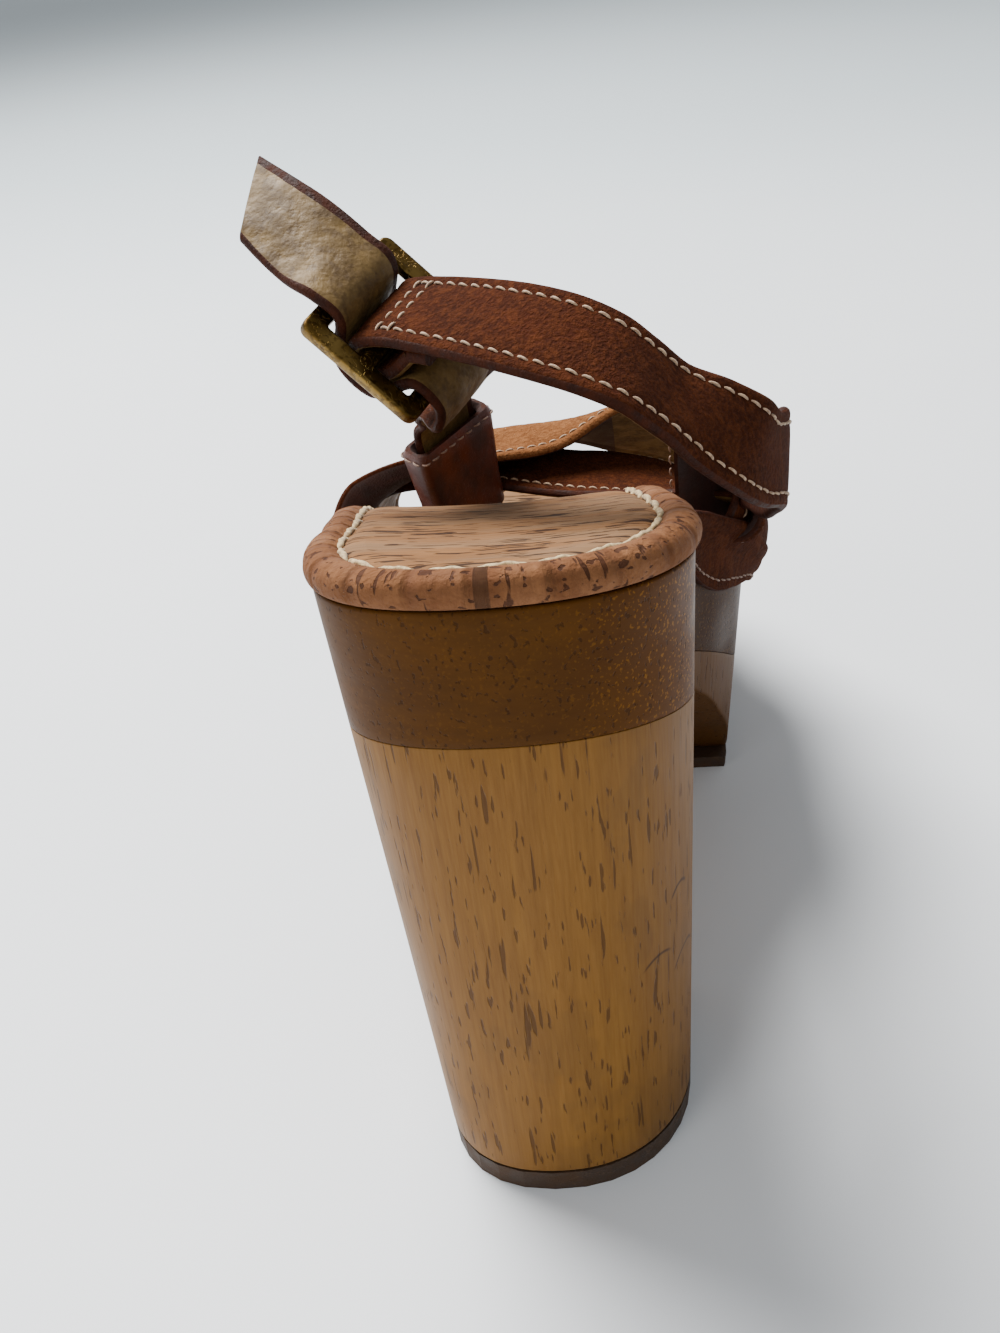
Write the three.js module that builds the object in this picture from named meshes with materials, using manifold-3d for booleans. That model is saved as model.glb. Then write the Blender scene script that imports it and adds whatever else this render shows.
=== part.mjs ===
// Platform sandal for the left foot: wooden block heel and platform, cork footbed,
// crossed vamp bands, and a heel strap that closes with a centre-bar buckle.
// Millimetres. +Y runs to the toe, +X to the inner side of the foot, +Z up.
// The origin is on the heel's floor face, under the middle of the seat.

import * as THREE from 'three';
import { mergeVertices } from 'three/addons/utils/BufferGeometryUtils.js';
import Module from 'manifold-3d';

const wasm = await Module();
wasm.setup();

// Sole
const SHOE_LENGTH = 225;
const HEEL_REACH = 29;
const SEAT_WIDTH = 59;
const BALL_WIDTH = 91;
const HEEL_HEIGHT = 126.7;
const PLATFORM_HEIGHT = 43;
const BAND_DEPTH = 23.3;
const HEEL_LIFT = 5;
const OUTSOLE = 3.5;
const TOE_SPRING = 6;
const HEEL_FRONT = 25;
const WAIST = 7;
const CONTACT_START = 106;
const HEEL_SIDE_TAPER = 5.6;
const HEEL_LEAN = 1.3;
const HEEL_BACK_TAPER = 2.6;
const FORE_TAPER = 5;

// Footbed
const CORK = 5.4;
const RIM_BULGE = 0.9;
const RIM_WIDTH = 7;
const SEAT_DISH = 0.8;

// Upper
const VAMP_WALL = 2.2;
const VAMP_RISE = 49;
const VAMP_BULGE = 5;
const TUCK = 7;
const TUCK_WALL = 1.4;
const BAND_LIFT = 8;

// Ankle straps and buckle
const STRAP_WIDTH = 18;
const STRAP_WALL = 2.4;
const BILLET_WALL = 2;
const ANKLE_RISE = 30.7;
const BUCKLE_BAR = 3.4;
const BUCKLE_PLATE = 2.4;
const BUCKLE_HALF = 10.2;
const CENTRE_BAR = 2.8;
const PRONG = 1.8;
const PIN_HOLE = 3.4;
const CENTRE_PASS = 6.6;
const SLEEVE_LENGTH = 18;

// Clearances
const GAP = 0.3;
const STRAP_PLAY = 0.5;
const TUCK_PLAY = 0.6;

// Mesh fineness
const STATIONS = 36;
const STRAP_STEPS = 4;
const LINE_STEPS = 26;
const TREAD_STEPS = 8;
const FOOTBED_COLUMNS = 4;
const ARCH_ROWS = 16;
const BAND_COLUMNS = 5;
const FOLD_STEPS = 6;
const EYE_STEPS = 6;
const CORNER_STEPS = 4;

// Plan of the sole: along = share of the length from the back, mid = share of the ball width,
// spread = 0 where it is as wide as the seat, 1 where it is as wide as the ball.
const PLAN = [
  { along: 0.00, mid: -0.015, spread: 0.00 },
  { along: 0.13, mid: 0.000, spread: 0.00 },
  { along: 0.28, mid: -0.045, spread: -0.024 },
  { along: 0.39, mid: -0.062, spread: 0.147 },
  { along: 0.46, mid: -0.050, spread: 0.431 },
  { along: 0.52, mid: -0.020, spread: 0.784 },
  { along: 0.59, mid: 0.004, spread: 0.983 },
  { along: 0.70, mid: 0.012, spread: 1.000 },
  { along: 0.82, mid: 0.022, spread: 0.784 },
  { along: 1.00, mid: 0.060, spread: 0.431 },
];
const SEAT_CAP = { along: 0.129, power: 2.2 };
const TOE_CAP = { along: 0.22, power: 2.3 };

// Shares of the length between which the heel's taper turns into the platform's,
// and where the toe spring starts
const TAPER_CHANGE = { from: 0.25, to: 0.6 };
const SPRING_FROM = 0.84;

// Side profile: rise = share of the drop from heel height to platform height,
// band = dark band's upright depth as a share of its depth at the back.
const PROFILE = [
  { along: 0.00, rise: 1.000, band: 1.00 },
  { along: 0.13, rise: 0.921, band: 1.14 },
  { along: 0.25, rise: 0.820, band: 1.20 },
  { along: 0.33, rise: 0.720, band: 1.22 },
  { along: 0.40, rise: 0.598, band: 1.24 },
  { along: 0.46, rise: 0.470, band: 1.22 },
  { along: 0.53, rise: 0.315, band: 1.14 },
  { along: 0.58, rise: 0.192, band: 1.02 },
  { along: 0.63, rise: 0.108, band: 0.92 },
  { along: 0.69, rise: 0.045, band: 0.86 },
  { along: 0.76, rise: 0.010, band: 0.84 },
  { along: 0.84, rise: 0.000, band: 0.84 },
  { along: 1.00, rise: 0.030, band: 0.84 },
];

// Underside between heel and platform: run = share of the way from the heel's front to the
// platform's contact, up = share of the way from the lift up to the waist's underside.
const ARCH = [
  { run: 0.015, up: 0.35 },
  { run: 0.035, up: 0.61 },
  { run: 0.08, up: 0.78 },
  { run: 0.17, up: 0.90 },
  { run: 0.29, up: 0.97 },
  { run: 0.43, up: 1.00 },
  { run: 0.58, up: 0.95 },
  { run: 0.72, up: 0.82 },
  { run: 0.84, up: 0.585 },
  { run: 0.93, up: 0.33 },
];

// Rolled cork edge: inset = share of the rim width inwards, bulge = share of the rim's
// bulge outwards, up = share of the cork thickness. The first row is cut off at the cork line.
const RIM = [
  { inset: 0.10, bulge: 0.0, up: -0.20 },
  { inset: 0.04, bulge: 0.0, up: 0.00 },
  { inset: 0.00, bulge: 0.8, up: 0.16 },
  { inset: 0.00, bulge: 1.0, up: 0.42 },
  { inset: 0.02, bulge: 0.3, up: 0.72 },
  { inset: 0.22, bulge: 0.0, up: 0.94 },
  { inset: 0.52, bulge: 0.0, up: 1.02 },
  { inset: 0.80, bulge: 0.0, up: 0.94 },
  { inset: 1.00, bulge: 0.0, up: 0.90 },
];

// Height of the vamp over the cork line along the shoe, as a share of the vamp's rise.
const INSTEP = [
  { along: 0.46, rise: 0.40 },
  { along: 0.56, rise: 0.56 },
  { along: 0.62, rise: 0.78 },
  { along: 0.68, rise: 0.98 },
  { along: 0.73, rise: 0.95 },
  { along: 0.80, rise: 0.78 },
  { along: 0.88, rise: 0.58 },
];

// Side of the last from the tuck to the shoulder: out = share of the bulge,
// tucked = share of the tuck, up = share of the vamp's rise.
const LAST_SIDE = [
  { tucked: 1.0, out: 0.0, up: 0.020 },
  { tucked: 0.2, out: 0.0, up: 0.020 },
  { tucked: 0.0, out: 0.52, up: 0.034 },
  { tucked: 0.0, out: 0.80, up: 0.110 },
  { tucked: 0.0, out: 0.96, up: 0.210 },
  { tucked: 0.0, out: 1.00, up: 0.320 },
];
const TUCK_ROWS = 2;
const LAST_SHOULDER = 0.32;
const INSTEP_SHIFT = 0.08;

// Vamp bands: from = 0 at the outer tuck, 1 at the inner tuck,
// rear and front = shares of the length, lift = share of the band lift at the rear edge,
// sag = share of the vamp's rise that the front edge hangs down.
const LOWER_BAND = [
  { from: 0.00, rear: 0.700, front: 0.825, lift: 0, sag: 0.00 },
  { from: 0.25, rear: 0.655, front: 0.790, lift: 0, sag: 0.00 },
  { from: 0.38, rear: 0.605, front: 0.745, lift: -0.3, sag: 0.11 },
  { from: 0.50, rear: 0.570, front: 0.705, lift: -0.8, sag: 0.32 },
  { from: 0.72, rear: 0.515, front: 0.668, lift: -0.6, sag: 0.26 },
  { from: 0.83, rear: 0.495, front: 0.662, lift: -0.2, sag: 0.05 },
  { from: 0.90, rear: 0.483, front: 0.661, lift: 0, sag: 0.00 },
  { from: 1.00, rear: 0.465, front: 0.660, lift: 0, sag: 0.00 },
];
const UPPER_BAND = [
  { from: 0.00, rear: 0.535, front: 0.645, lift: 0, sag: 0.00 },
  { from: 0.20, rear: 0.543, front: 0.660, lift: 0.1, sag: 0.00 },
  { from: 0.28, rear: 0.550, front: 0.675, lift: 0.9, sag: 0.00 },
  { from: 0.36, rear: 0.558, front: 0.692, lift: 1.1, sag: 0.00 },
  { from: 0.42, rear: 0.585, front: 0.712, lift: 0.5, sag: 0.08 },
  { from: 0.48, rear: 0.615, front: 0.740, lift: 0, sag: 0.17 },
  { from: 0.55, rear: 0.650, front: 0.775, lift: 0.45, sag: 0.24 },
  { from: 0.72, rear: 0.695, front: 0.812, lift: 0.65, sag: 0.24 },
  { from: 0.83, rear: 0.710, front: 0.826, lift: 0.3, sag: 0.03 },
  { from: 0.90, rear: 0.713, front: 0.832, lift: 0, sag: 0.00 },
  { from: 1.00, rear: 0.720, front: 0.840, lift: 0, sag: 0.00 },
];

// Places in the ankle straps: out = share of half the seat width, along = share of the length,
// up = share of the ankle rise above the cork line, turn and tilt = direction of the width.
const BUCKLE_PLACE = { out: -0.58, along: 0.271, up: 1.21, turn: 60, tilt: 18, longTurn: 164, longTilt: 46 };
const BILLET_TIP = [
  { out: -1.373, along: 0.323, up: 2.07, turn: 82, tilt: 32 },
  { out: -1.136, along: 0.296, up: 1.83, turn: 73, tilt: 37 },
];
const BILLET_ROOT = [
  { out: -0.33, along: 0.320, up: 0.87, turn: 44, tilt: 15 },
  { out: -0.44, along: 0.380, up: 0.97, turn: 42, tilt: 13 },
  { out: -0.54, along: 0.450, up: 1.13, turn: 44, tilt: 13 },
  { out: -0.61, along: 0.512, up: 1.29, turn: 47, tilt: 14 },
];
const SLING = [
  { out: 0.345, along: 0.184, up: 1.078, turn: 76, tilt: 29 },
  { out: 0.602, along: 0.172, up: 0.962, turn: 72, tilt: 22 },
  { out: 0.754, along: 0.172, up: 0.858, turn: 74, tilt: 17 },
  { out: 0.931, along: 0.182, up: 0.702, turn: 75, tilt: 17 },
  { out: 1.13, along: 0.191, up: 0.565, turn: 64, tilt: 25 },
  { out: 1.334, along: 0.204, up: 0.42, turn: 62, tilt: 33 },
  { out: 1.451, along: 0.229, up: 0.318, turn: 71, tilt: 37 },
  { out: 1.568, along: 0.27, up: 0.293, turn: 80, tilt: 50 },
  { out: 1.59, along: 0.33, up: 0.27, turn: 84, tilt: 64 },
  { out: 1.58, along: 0.42, up: 0.36, turn: 86, tilt: 62 },
];

// Sleeves on the vamp: out = share of half the ball width, along = share of the length,
// up = share of the vamp's rise above the cork line, turns and tilts = width and run directions.
const OUTER_SLEEVE = {
  out: -0.4376, along: 0.5525, up: 0.649, turn: 48, tilt: 14, runTurn: -70, runTilt: 80,
};
const INNER_SLEEVE = { out: 0.992, along: 0.55, up: 0.4776, turn: 90, tilt: 62, runTurn: 88, runTilt: -26 };

// Ends of the straight stretch in a sleeve, as shares of the sleeve's length from its middle
const BILLET_STRETCH = { from: 0.7, to: -0.52 };
const SLING_STRETCH = { from: -0.7, to: 0.55 };

// Billet's way through the buckle: half and bar = shares of the buckle's half length and of its
// bar, over = share of the clearance over a crossbar, under = share of the centre bar's pass.
const BILLET_PASS = [
  { half: 1, bar: 1, over: 1, under: 0 },
  { half: 1, bar: -0.6, over: 1, under: 0 },
  { half: 0.35, bar: 0, over: 0, under: 1 },
  { half: -0.35, bar: 0, over: 0, under: 1 },
  { half: -1, bar: 0.6, over: 1, under: 0 },
  { half: -1, bar: -1, over: 0.7, under: 0 },
  { half: -1, bar: -1.5, over: 0, under: 0.36 },
];

// Slot for the prong in the billet, as shares of the buckle's half length,
// and the turn of the prong's eye in half circles
const PIN_SLOT = { from: 0.17, to: 0.8 };
const PRONG_EYE = { from: 0.4, to: 1.5 };

// Sewn end of the heel strap under its fold: run = share of the strap width from the bar,
// rise = share of the fold's radius.
const SEWN_END = [
  { run: 0, rise: -1 },
  { run: 0.28, rise: -0.6 },
  { run: 0.55, rise: 0.15 },
  { run: 0.85, rise: 0.5 },
];

// Curves through table rows
function smooth(rows, key, at, column) {
  const last = rows.length - 1;
  if (at <= rows[0][key]) return rows[0][column];
  if (at >= rows[last][key]) return rows[last][column];
  let i = 0;
  while (at > rows[i + 1][key]) i += 1;
  const slope = (a, b) => (rows[b][column] - rows[a][column]) / (rows[b][key] - rows[a][key]);
  const span = rows[i + 1][key] - rows[i][key];
  const here = slope(i, i + 1);
  const tangent = (before, after) => (before * after <= 0 ? 0 : (2 * before * after) / (before + after));
  const start = i > 0 ? tangent(slope(i - 1, i), here) : here;
  const end = i + 1 < last ? tangent(here, slope(i + 1, i + 2)) : here;
  const t = (at - rows[i][key]) / span;
  const rest = 1 - t;
  return rows[i][column] * (1 + 2 * t) * rest * rest + rows[i + 1][column] * t * t * (3 - 2 * t)
    + span * (start * t * rest * rest - end * t * t * rest);
}

const shareAt = (y) => (y + HEEL_REACH) / SHOE_LENGTH;
const placeAt = (share) => share * SHOE_LENGTH - HEEL_REACH;

function corkLine(y) {
  return PLATFORM_HEIGHT + (HEEL_HEIGHT - PLATFORM_HEIGHT) * smooth(PROFILE, 'along', shareAt(y), 'rise');
}

function bandLine(y) {
  return corkLine(y) - BAND_DEPTH * smooth(PROFILE, 'along', shareAt(y), 'band');
}

// Half of the sole's width at a share of the length, rounded at both ends
function halfWidth(share) {
  let round = 1;
  if (share < SEAT_CAP.along) {
    round = (1 - (1 - share / SEAT_CAP.along) ** SEAT_CAP.power) ** (1 / SEAT_CAP.power);
  }
  if (share > 1 - TOE_CAP.along) {
    const reach = (share - 1 + TOE_CAP.along) / TOE_CAP.along;
    round = Math.max(0, 1 - reach ** TOE_CAP.power) ** (1 / TOE_CAP.power);
  }
  const spread = smooth(PLAN, 'along', share, 'spread');
  return ((SEAT_WIDTH + (BALL_WIDTH - SEAT_WIDTH) * spread) / 2) * round;
}

function midLine(share) {
  return BALL_WIDTH * smooth(PLAN, 'along', share, 'mid');
}

// Edge of the sole at y: side -1 is the outer side of the foot, +1 the inner side
function edge(y, side) {
  const share = shareAt(y);
  return midLine(share) + side * halfWidth(share);
}

// The outline runs up the outer side to the toe and back down the inner side
function outline() {
  const stations = [];
  for (let i = 0; i <= STATIONS; i += 1) {
    stations.push((1 - Math.cos((Math.PI * i) / STATIONS)) / 2);
  }
  const at = (share, side) => new THREE.Vector2(edge(placeAt(share), side), placeAt(share));
  const points = stations.map((share) => at(share, -1));
  for (let i = STATIONS - 1; i > 0; i -= 1) {
    points.push(at(stations[i], 1));
  }
  return points;
}

// Outward normals of the outline, which runs clockwise seen from above
function outwards(points) {
  return points.map((p, i) => {
    const before = points[(i + points.length - 1) % points.length];
    const after = points[(i + 1) % points.length];
    const along = new THREE.Vector2().subVectors(after, before).normalize();
    return new THREE.Vector2(-along.y, along.x);
  });
}

const EDGE = outline();
const EDGE_OUT = outwards(EDGE);

// Closed solids from points and faces, and their joins and cuts
function geometryFrom(points, faces) {
  const geometry = new THREE.BufferGeometry();
  geometry.setAttribute('position', new THREE.Float32BufferAttribute(points.flat(), 3));
  geometry.setIndex(faces.flat());
  return geometry;
}

function solidFrom(geometry) {
  const bare = geometry.clone();
  bare.deleteAttribute('normal');
  bare.deleteAttribute('uv');
  const merged = mergeVertices(bare, 1e-4);
  const solid = new wasm.Manifold(new wasm.Mesh({
    numProp: 3,
    vertProperties: new Float32Array(merged.getAttribute('position').array),
    triVerts: new Uint32Array(merged.getIndex().array),
  }));
  return solid;
}

function geometryOf(solid) {
  const mesh = solid.getMesh();
  const geometry = new THREE.BufferGeometry();
  geometry.setAttribute('position', new THREE.Float32BufferAttribute(mesh.vertProperties, 3));
  geometry.setIndex(Array.from(mesh.triVerts));
  return geometry;
}

// Skin over rings of equal length, closed by the given caps
function ringFaces(ringCount, ringSize) {
  const faces = [];
  for (let r = 0; r + 1 < ringCount; r += 1) {
    for (let i = 0; i < ringSize; i += 1) {
      const next = (i + 1) % ringSize;
      const a = r * ringSize + i;
      const b = r * ringSize + next;
      faces.push([a, a + ringSize, b], [b, a + ringSize, b + ringSize]);
    }
  }
  return faces;
}

// Flat cap of one outline ring: outer and inner points of one station are joined across
function stationFaces(start, flip) {
  const faces = [];
  const size = EDGE.length;
  const inner = (i) => start + ((size - i) % size);
  for (let i = 0; i < STATIONS; i += 1) {
    const a = start + i;
    const b = start + i + 1;
    const c = inner(i + 1);
    const d = inner(i);
    const pair = [[a, b, c], [a, c, d]].filter(([p, q, r]) => p !== q && q !== r && r !== p);
    pair.forEach(([p, q, r]) => faces.push(flip ? [p, r, q] : [p, q, r]));
  }
  return faces;
}

// Sole wall: straight lines from the floor outline to the cork line, carried on upwards
function floorInset(point, out) {
  const share = shareAt(point.y);
  const fore = THREE.MathUtils.smoothstep(share, TAPER_CHANGE.from, TAPER_CHANGE.to);
  const side = Math.abs(out.x);
  const heelSide = HEEL_SIDE_TAPER - Math.sign(out.x) * HEEL_LEAN;
  const heel = heelSide * side * side + HEEL_BACK_TAPER * (1 - side * side);
  return heel * (1 - fore) + FORE_TAPER * fore;
}

function soleWall() {
  const top = HEEL_HEIGHT + CORK;
  const levels = [-OUTSOLE, top];
  const points = levels.flatMap((z) => EDGE.map((p, i) => {
    const inset = floorInset(p, EDGE_OUT[i]) * (1 - z / corkLine(p.y));
    return [p.x - EDGE_OUT[i].x * inset, p.y - EDGE_OUT[i].y * inset, z];
  }));
  const faces = [
    ...ringFaces(2, EDGE.length),
    ...stationFaces(0, false),
    ...stationFaces(EDGE.length, true),
  ];
  return orient(geometryFrom(points, faces));
}

// A closed mesh with its faces pointing out
function orient(geometry) {
  const p = geometry.getAttribute('position');
  const index = geometry.getIndex().array;
  const corner = (i) => new THREE.Vector3().fromBufferAttribute(p, index[i]);
  let volume = 0;
  for (let i = 0; i < index.length; i += 3) {
    volume += corner(i).dot(corner(i + 1).cross(corner(i + 2)));
  }
  if (volume < 0) {
    for (let i = 0; i < index.length; i += 3) {
      [index[i + 1], index[i + 2]] = [index[i + 2], index[i + 1]];
    }
  }
  return geometry;
}

// Prism across the shoe from a side profile of [y, z] points
function sideCut(profile) {
  const shape = new THREE.Shape(profile.map(([y, z]) => new THREE.Vector2(y, z)));
  const reach = BALL_WIDTH;
  const geometry = new THREE.ExtrudeGeometry(shape, { depth: 2 * reach, bevelEnabled: false });
  geometry.applyMatrix4(new THREE.Matrix4().makeBasis(
    new THREE.Vector3(0, 1, 0), new THREE.Vector3(0, 0, 1), new THREE.Vector3(1, 0, 0),
  ));
  geometry.translate(-reach, 0, 0);
  return solidFrom(geometry);
}

// Points of a side line at even steps from one y to another
function sideLine(line, from, to, steps, shift) {
  return Array.from({ length: steps + 1 }, (_, i) => {
    const y = from + ((to - from) * i) / steps;
    return [y, line(y) + shift];
  });
}

const BACK_END = -2 * HEEL_REACH;
const TOE_END = placeAt(1) + HEEL_REACH;

function treadLine(y) {
  const start = placeAt(SPRING_FROM);
  const reach = Math.max(0, (y - start) / (placeAt(1) - start));
  return TOE_SPRING * reach ** 2;
}

function archPoints() {
  return ARCH.map(({ run, up }) => {
    const y = HEEL_FRONT + (CONTACT_START - HEEL_FRONT) * run;
    return [y, HEEL_LIFT + (bandLine(y) - WAIST - HEEL_LIFT) * up];
  });
}

function sidePlan(line, shift) {
  return [
    [BACK_END, line(-HEEL_REACH) + shift],
    ...sideLine(line, -HEEL_REACH, placeAt(1), LINE_STEPS, shift),
    [TOE_END, line(placeAt(1)) + shift],
  ];
}

function makeWood(wall) {
  const under = [
    [BACK_END, HEEL_LIFT],
    [HEEL_FRONT, HEEL_LIFT],
    ...archPoints(),
    ...sideLine(treadLine, CONTACT_START, TOE_END, TREAD_STEPS, OUTSOLE),
  ];
  return wall.intersect(sideCut([...under, ...sidePlan(bandLine, -GAP).reverse()]));
}

function makeBand(wall) {
  return wall.intersect(sideCut([...sidePlan(bandLine, 0), ...sidePlan(corkLine, -GAP).reverse()]));
}

function makeLift(wall) {
  return wall.intersect(sideCut([
    [BACK_END, 0], [HEEL_FRONT, 0], [HEEL_FRONT, HEEL_LIFT - GAP], [BACK_END, HEEL_LIFT - GAP],
  ]));
}

function makeOutsole(wall) {
  const start = CONTACT_START - OUTSOLE;
  return wall.intersect(sideCut([
    ...sideLine(treadLine, start, TOE_END, TREAD_STEPS, 0),
    ...sideLine(treadLine, start, TOE_END, TREAD_STEPS, OUTSOLE - GAP).reverse(),
  ]));
}

// Footbed: rolled rim rings, then rows across that dip a little in the middle
function makeFootbed() {
  const size = EDGE.length;
  const points = RIM.flatMap(({ inset, bulge, up }) => EDGE.map((p, i) => {
    const inwards = RIM_WIDTH * inset - RIM_BULGE * bulge;
    const x = p.x - EDGE_OUT[i].x * inwards;
    const y = p.y - EDGE_OUT[i].y * inwards;
    return [x, y, corkLine(y) + CORK * up];
  }));
  const faces = ringFaces(RIM.length, size);
  const last = (RIM.length - 1) * size;
  const inner = (i) => last + ((size - i) % size);
  const row = (i) => {
    const a = points[last + i];
    const b = points[inner(i)];
    const ids = [last + i];
    for (let c = 1; c < FOOTBED_COLUMNS; c += 1) {
      const t = c / FOOTBED_COLUMNS;
      const dip = SEAT_DISH * 4 * t * (1 - t);
      const y = a[1] + (b[1] - a[1]) * t;
      const rise = RIM[RIM.length - 1].up * CORK;
      points.push([a[0] + (b[0] - a[0]) * t, y, corkLine(y) + rise - dip]);
      ids.push(points.length - 1);
    }
    ids.push(inner(i));
    return ids;
  };
  let before = [last];
  for (let i = 1; i < STATIONS; i += 1) {
    const now = row(i);
    for (let c = 0; c < FOOTBED_COLUMNS; c += 1) {
      if (before.length === 1) faces.push([before[0], now[c + 1], now[c]]);
      else faces.push([before[c], now[c + 1], now[c]], [before[c], before[c + 1], now[c + 1]]);
    }
    before = now;
  }
  for (let c = 0; c < FOOTBED_COLUMNS; c += 1) {
    faces.push([before[c], before[c + 1], last + STATIONS]);
  }
  stationFaces(0, false).forEach((face) => faces.push(face));
  return solidFrom(orient(geometryFrom(points, faces)));
}

// Cross-section of the last at y, from the outer tuck over the instep to the inner tuck
function lastSection(y, tuck) {
  const base = corkLine(y);
  const rise = VAMP_RISE * smooth(INSTEP, 'along', shareAt(y), 'rise');
  const sidePoint = (side) => ({ tucked, out, up }) => [
    edge(y, side) + side * (VAMP_BULGE * out - tuck * tucked),
    base + VAMP_RISE * up,
  ];
  const outer = LAST_SIDE.map(sidePoint(-1));
  const inner = LAST_SIDE.map(sidePoint(1)).reverse();
  const shoulder = VAMP_RISE * LAST_SHOULDER;
  const from = outer[outer.length - 1][0];
  const to = inner[0][0];
  const ridge = BALL_WIDTH * INSTEP_SHIFT;
  const arch = [];
  for (let i = 1; i < ARCH_ROWS; i += 1) {
    const turn = (Math.PI * i) / ARCH_ROWS;
    const x = (from + to) / 2 - ((to - from) / 2) * Math.cos(turn) + ridge * Math.sin(turn) ** 2;
    arch.push([x, base + shoulder + (rise - shoulder) * Math.sin(turn)]);
  }
  return [...outer, ...arch, ...inner];
}

// Wall between two offset copies of a grid of points, with a thickness for each row
function wallSolid(grid, wallAt) {
  const rows = grid.length;
  const columns = grid[0].length;
  const at = (r, c) => grid[Math.min(Math.max(r, 0), rows - 1)][Math.min(Math.max(c, 0), columns - 1)];
  const normal = (r, c) => {
    const down = new THREE.Vector3().subVectors(at(r + 1, c), at(r - 1, c));
    const across = new THREE.Vector3().subVectors(at(r, c + 1), at(r, c - 1));
    return down.cross(across).normalize();
  };
  const points = [];
  [1, -1].forEach((side) => {
    for (let r = 0; r < rows; r += 1) {
      for (let c = 0; c < columns; c += 1) {
        points.push(grid[r][c].clone().addScaledVector(normal(r, c), (side * wallAt(r)) / 2).toArray());
      }
    }
  });
  const half = rows * columns;
  const id = (r, c) => r * columns + c;
  const faces = [];
  for (let r = 0; r + 1 < rows; r += 1) {
    for (let c = 0; c + 1 < columns; c += 1) {
      const quad = [id(r, c), id(r + 1, c), id(r + 1, c + 1), id(r, c + 1)];
      faces.push([quad[0], quad[1], quad[2]], [quad[0], quad[2], quad[3]]);
      faces.push([quad[0] + half, quad[2] + half, quad[1] + half]);
      faces.push([quad[0] + half, quad[3] + half, quad[2] + half]);
    }
  }
  const rim = [];
  for (let r = 0; r < rows; r += 1) rim.push(id(r, 0));
  for (let c = 1; c < columns; c += 1) rim.push(id(rows - 1, c));
  for (let r = rows - 2; r >= 0; r -= 1) rim.push(id(r, columns - 1));
  for (let c = columns - 2; c > 0; c -= 1) rim.push(id(0, c));
  rim.forEach((a, i) => {
    const b = rim[(i + 1) % rim.length];
    faces.push([a, a + half, b], [b, a + half, b + half]);
  });
  return solidFrom(orient(geometryFrom(points, faces)));
}

// One vamp band laid on the last between its rear and front edges. The recess for its tuck
// is the same band, larger by the margin on every side and deeper by the drop at the tuck.
function vampBand(table, margin, drop) {
  const rowCount = LAST_SIDE.length * 2 + ARCH_ROWS - 1;
  const tucked = (r) => r < TUCK_ROWS || r >= rowCount - TUCK_ROWS;
  const grid = [];
  for (let r = 0; r < rowCount; r += 1) {
    const from = r / (rowCount - 1);
    const rear = placeAt(smooth(table, 'from', from, 'rear')) - margin;
    const front = placeAt(smooth(table, 'from', from, 'front')) + margin;
    const lift = BAND_LIFT * smooth(table, 'from', from, 'lift');
    const sag = VAMP_RISE * smooth(table, 'from', from, 'sag');
    const line = [];
    for (let c = 0; c <= BAND_COLUMNS; c += 1) {
      const t = c / BAND_COLUMNS;
      const y = rear + (front - rear) * t;
      const [x, z] = lastSection(y, TUCK + margin)[r];
      const settled = tucked(r) ? drop / 2 : 0;
      line.push(new THREE.Vector3(x, y, z + lift * (1 - t) ** 2 - sag * t - settled));
    }
    grid.push(line);
  }
  return wallSolid(grid, (r) => (tucked(r) ? TUCK_WALL + drop : VAMP_WALL) + 2 * margin);
}

// Strap through rows of { at, across }: centre points and the direction of its width
function strap(rows, width, wallThickness, columns, steps) {
  const centres = new THREE.CatmullRomCurve3(rows.map((row) => row.at), false, 'centripetal');
  const turns = new THREE.CatmullRomCurve3(rows.map((row) => row.across), false, 'centripetal');
  const count = (rows.length - 1) * steps;
  const grid = [];
  for (let i = 0; i <= count; i += 1) {
    const across = turns.getPoint(i / count).normalize();
    const centre = centres.getPoint(i / count);
    const line = [];
    for (let c = 0; c <= columns; c += 1) {
      line.push(centre.clone().addScaledVector(across, width * (c / columns - 0.5)));
    }
    grid.push(line);
  }
  return wallSolid(grid, () => wallThickness);
}

// Width direction from its turn about the upright axis and its tilt above level, in degrees
function widthway(turn, tilt) {
  const a = THREE.MathUtils.degToRad(turn);
  const b = THREE.MathUtils.degToRad(tilt);
  return new THREE.Vector3(Math.cos(b) * Math.cos(a), Math.cos(b) * Math.sin(a), Math.sin(b));
}

// Route rows: out = share of half the seat width, along = share of the length,
// up = share of the ankle rise above the cork line
function routeRow({ out, along, up, turn, tilt }) {
  const y = placeAt(along);
  return {
    at: new THREE.Vector3((out * SEAT_WIDTH) / 2, y, corkLine(y) + ANKLE_RISE * up),
    across: widthway(turn, tilt),
  };
}

// Buckle frame of reference: long runs to the billet's tip, face looks at the foot's inside
const BUCKLE = routeRow(BUCKLE_PLACE);
const buckleLong = widthway(BUCKLE_PLACE.longTurn, BUCKLE_PLACE.longTilt);
buckleLong.addScaledVector(BUCKLE.across, -buckleLong.dot(BUCKLE.across)).normalize();
const buckleFace = new THREE.Vector3().crossVectors(BUCKLE.across, buckleLong);

function inBuckle(long, face) {
  return BUCKLE.at.clone().addScaledVector(buckleLong, long).addScaledVector(buckleFace, face);
}

// A flat shape pushed out to a depth
function plate(shape, depth) {
  return new THREE.ExtrudeGeometry(shape, { depth, bevelEnabled: false, curveSegments: CORNER_STEPS });
}

// A shape drawn in the buckle's plane and pushed out through the plate's thickness
function buckleBlock(shape, depth) {
  const geometry = plate(shape, depth);
  geometry.translate(0, 0, -depth / 2);
  geometry.applyMatrix4(new THREE.Matrix4().makeBasis(BUCKLE.across, buckleLong, buckleFace));
  geometry.translate(...BUCKLE.at.toArray());
  return solidFrom(geometry);
}

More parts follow.
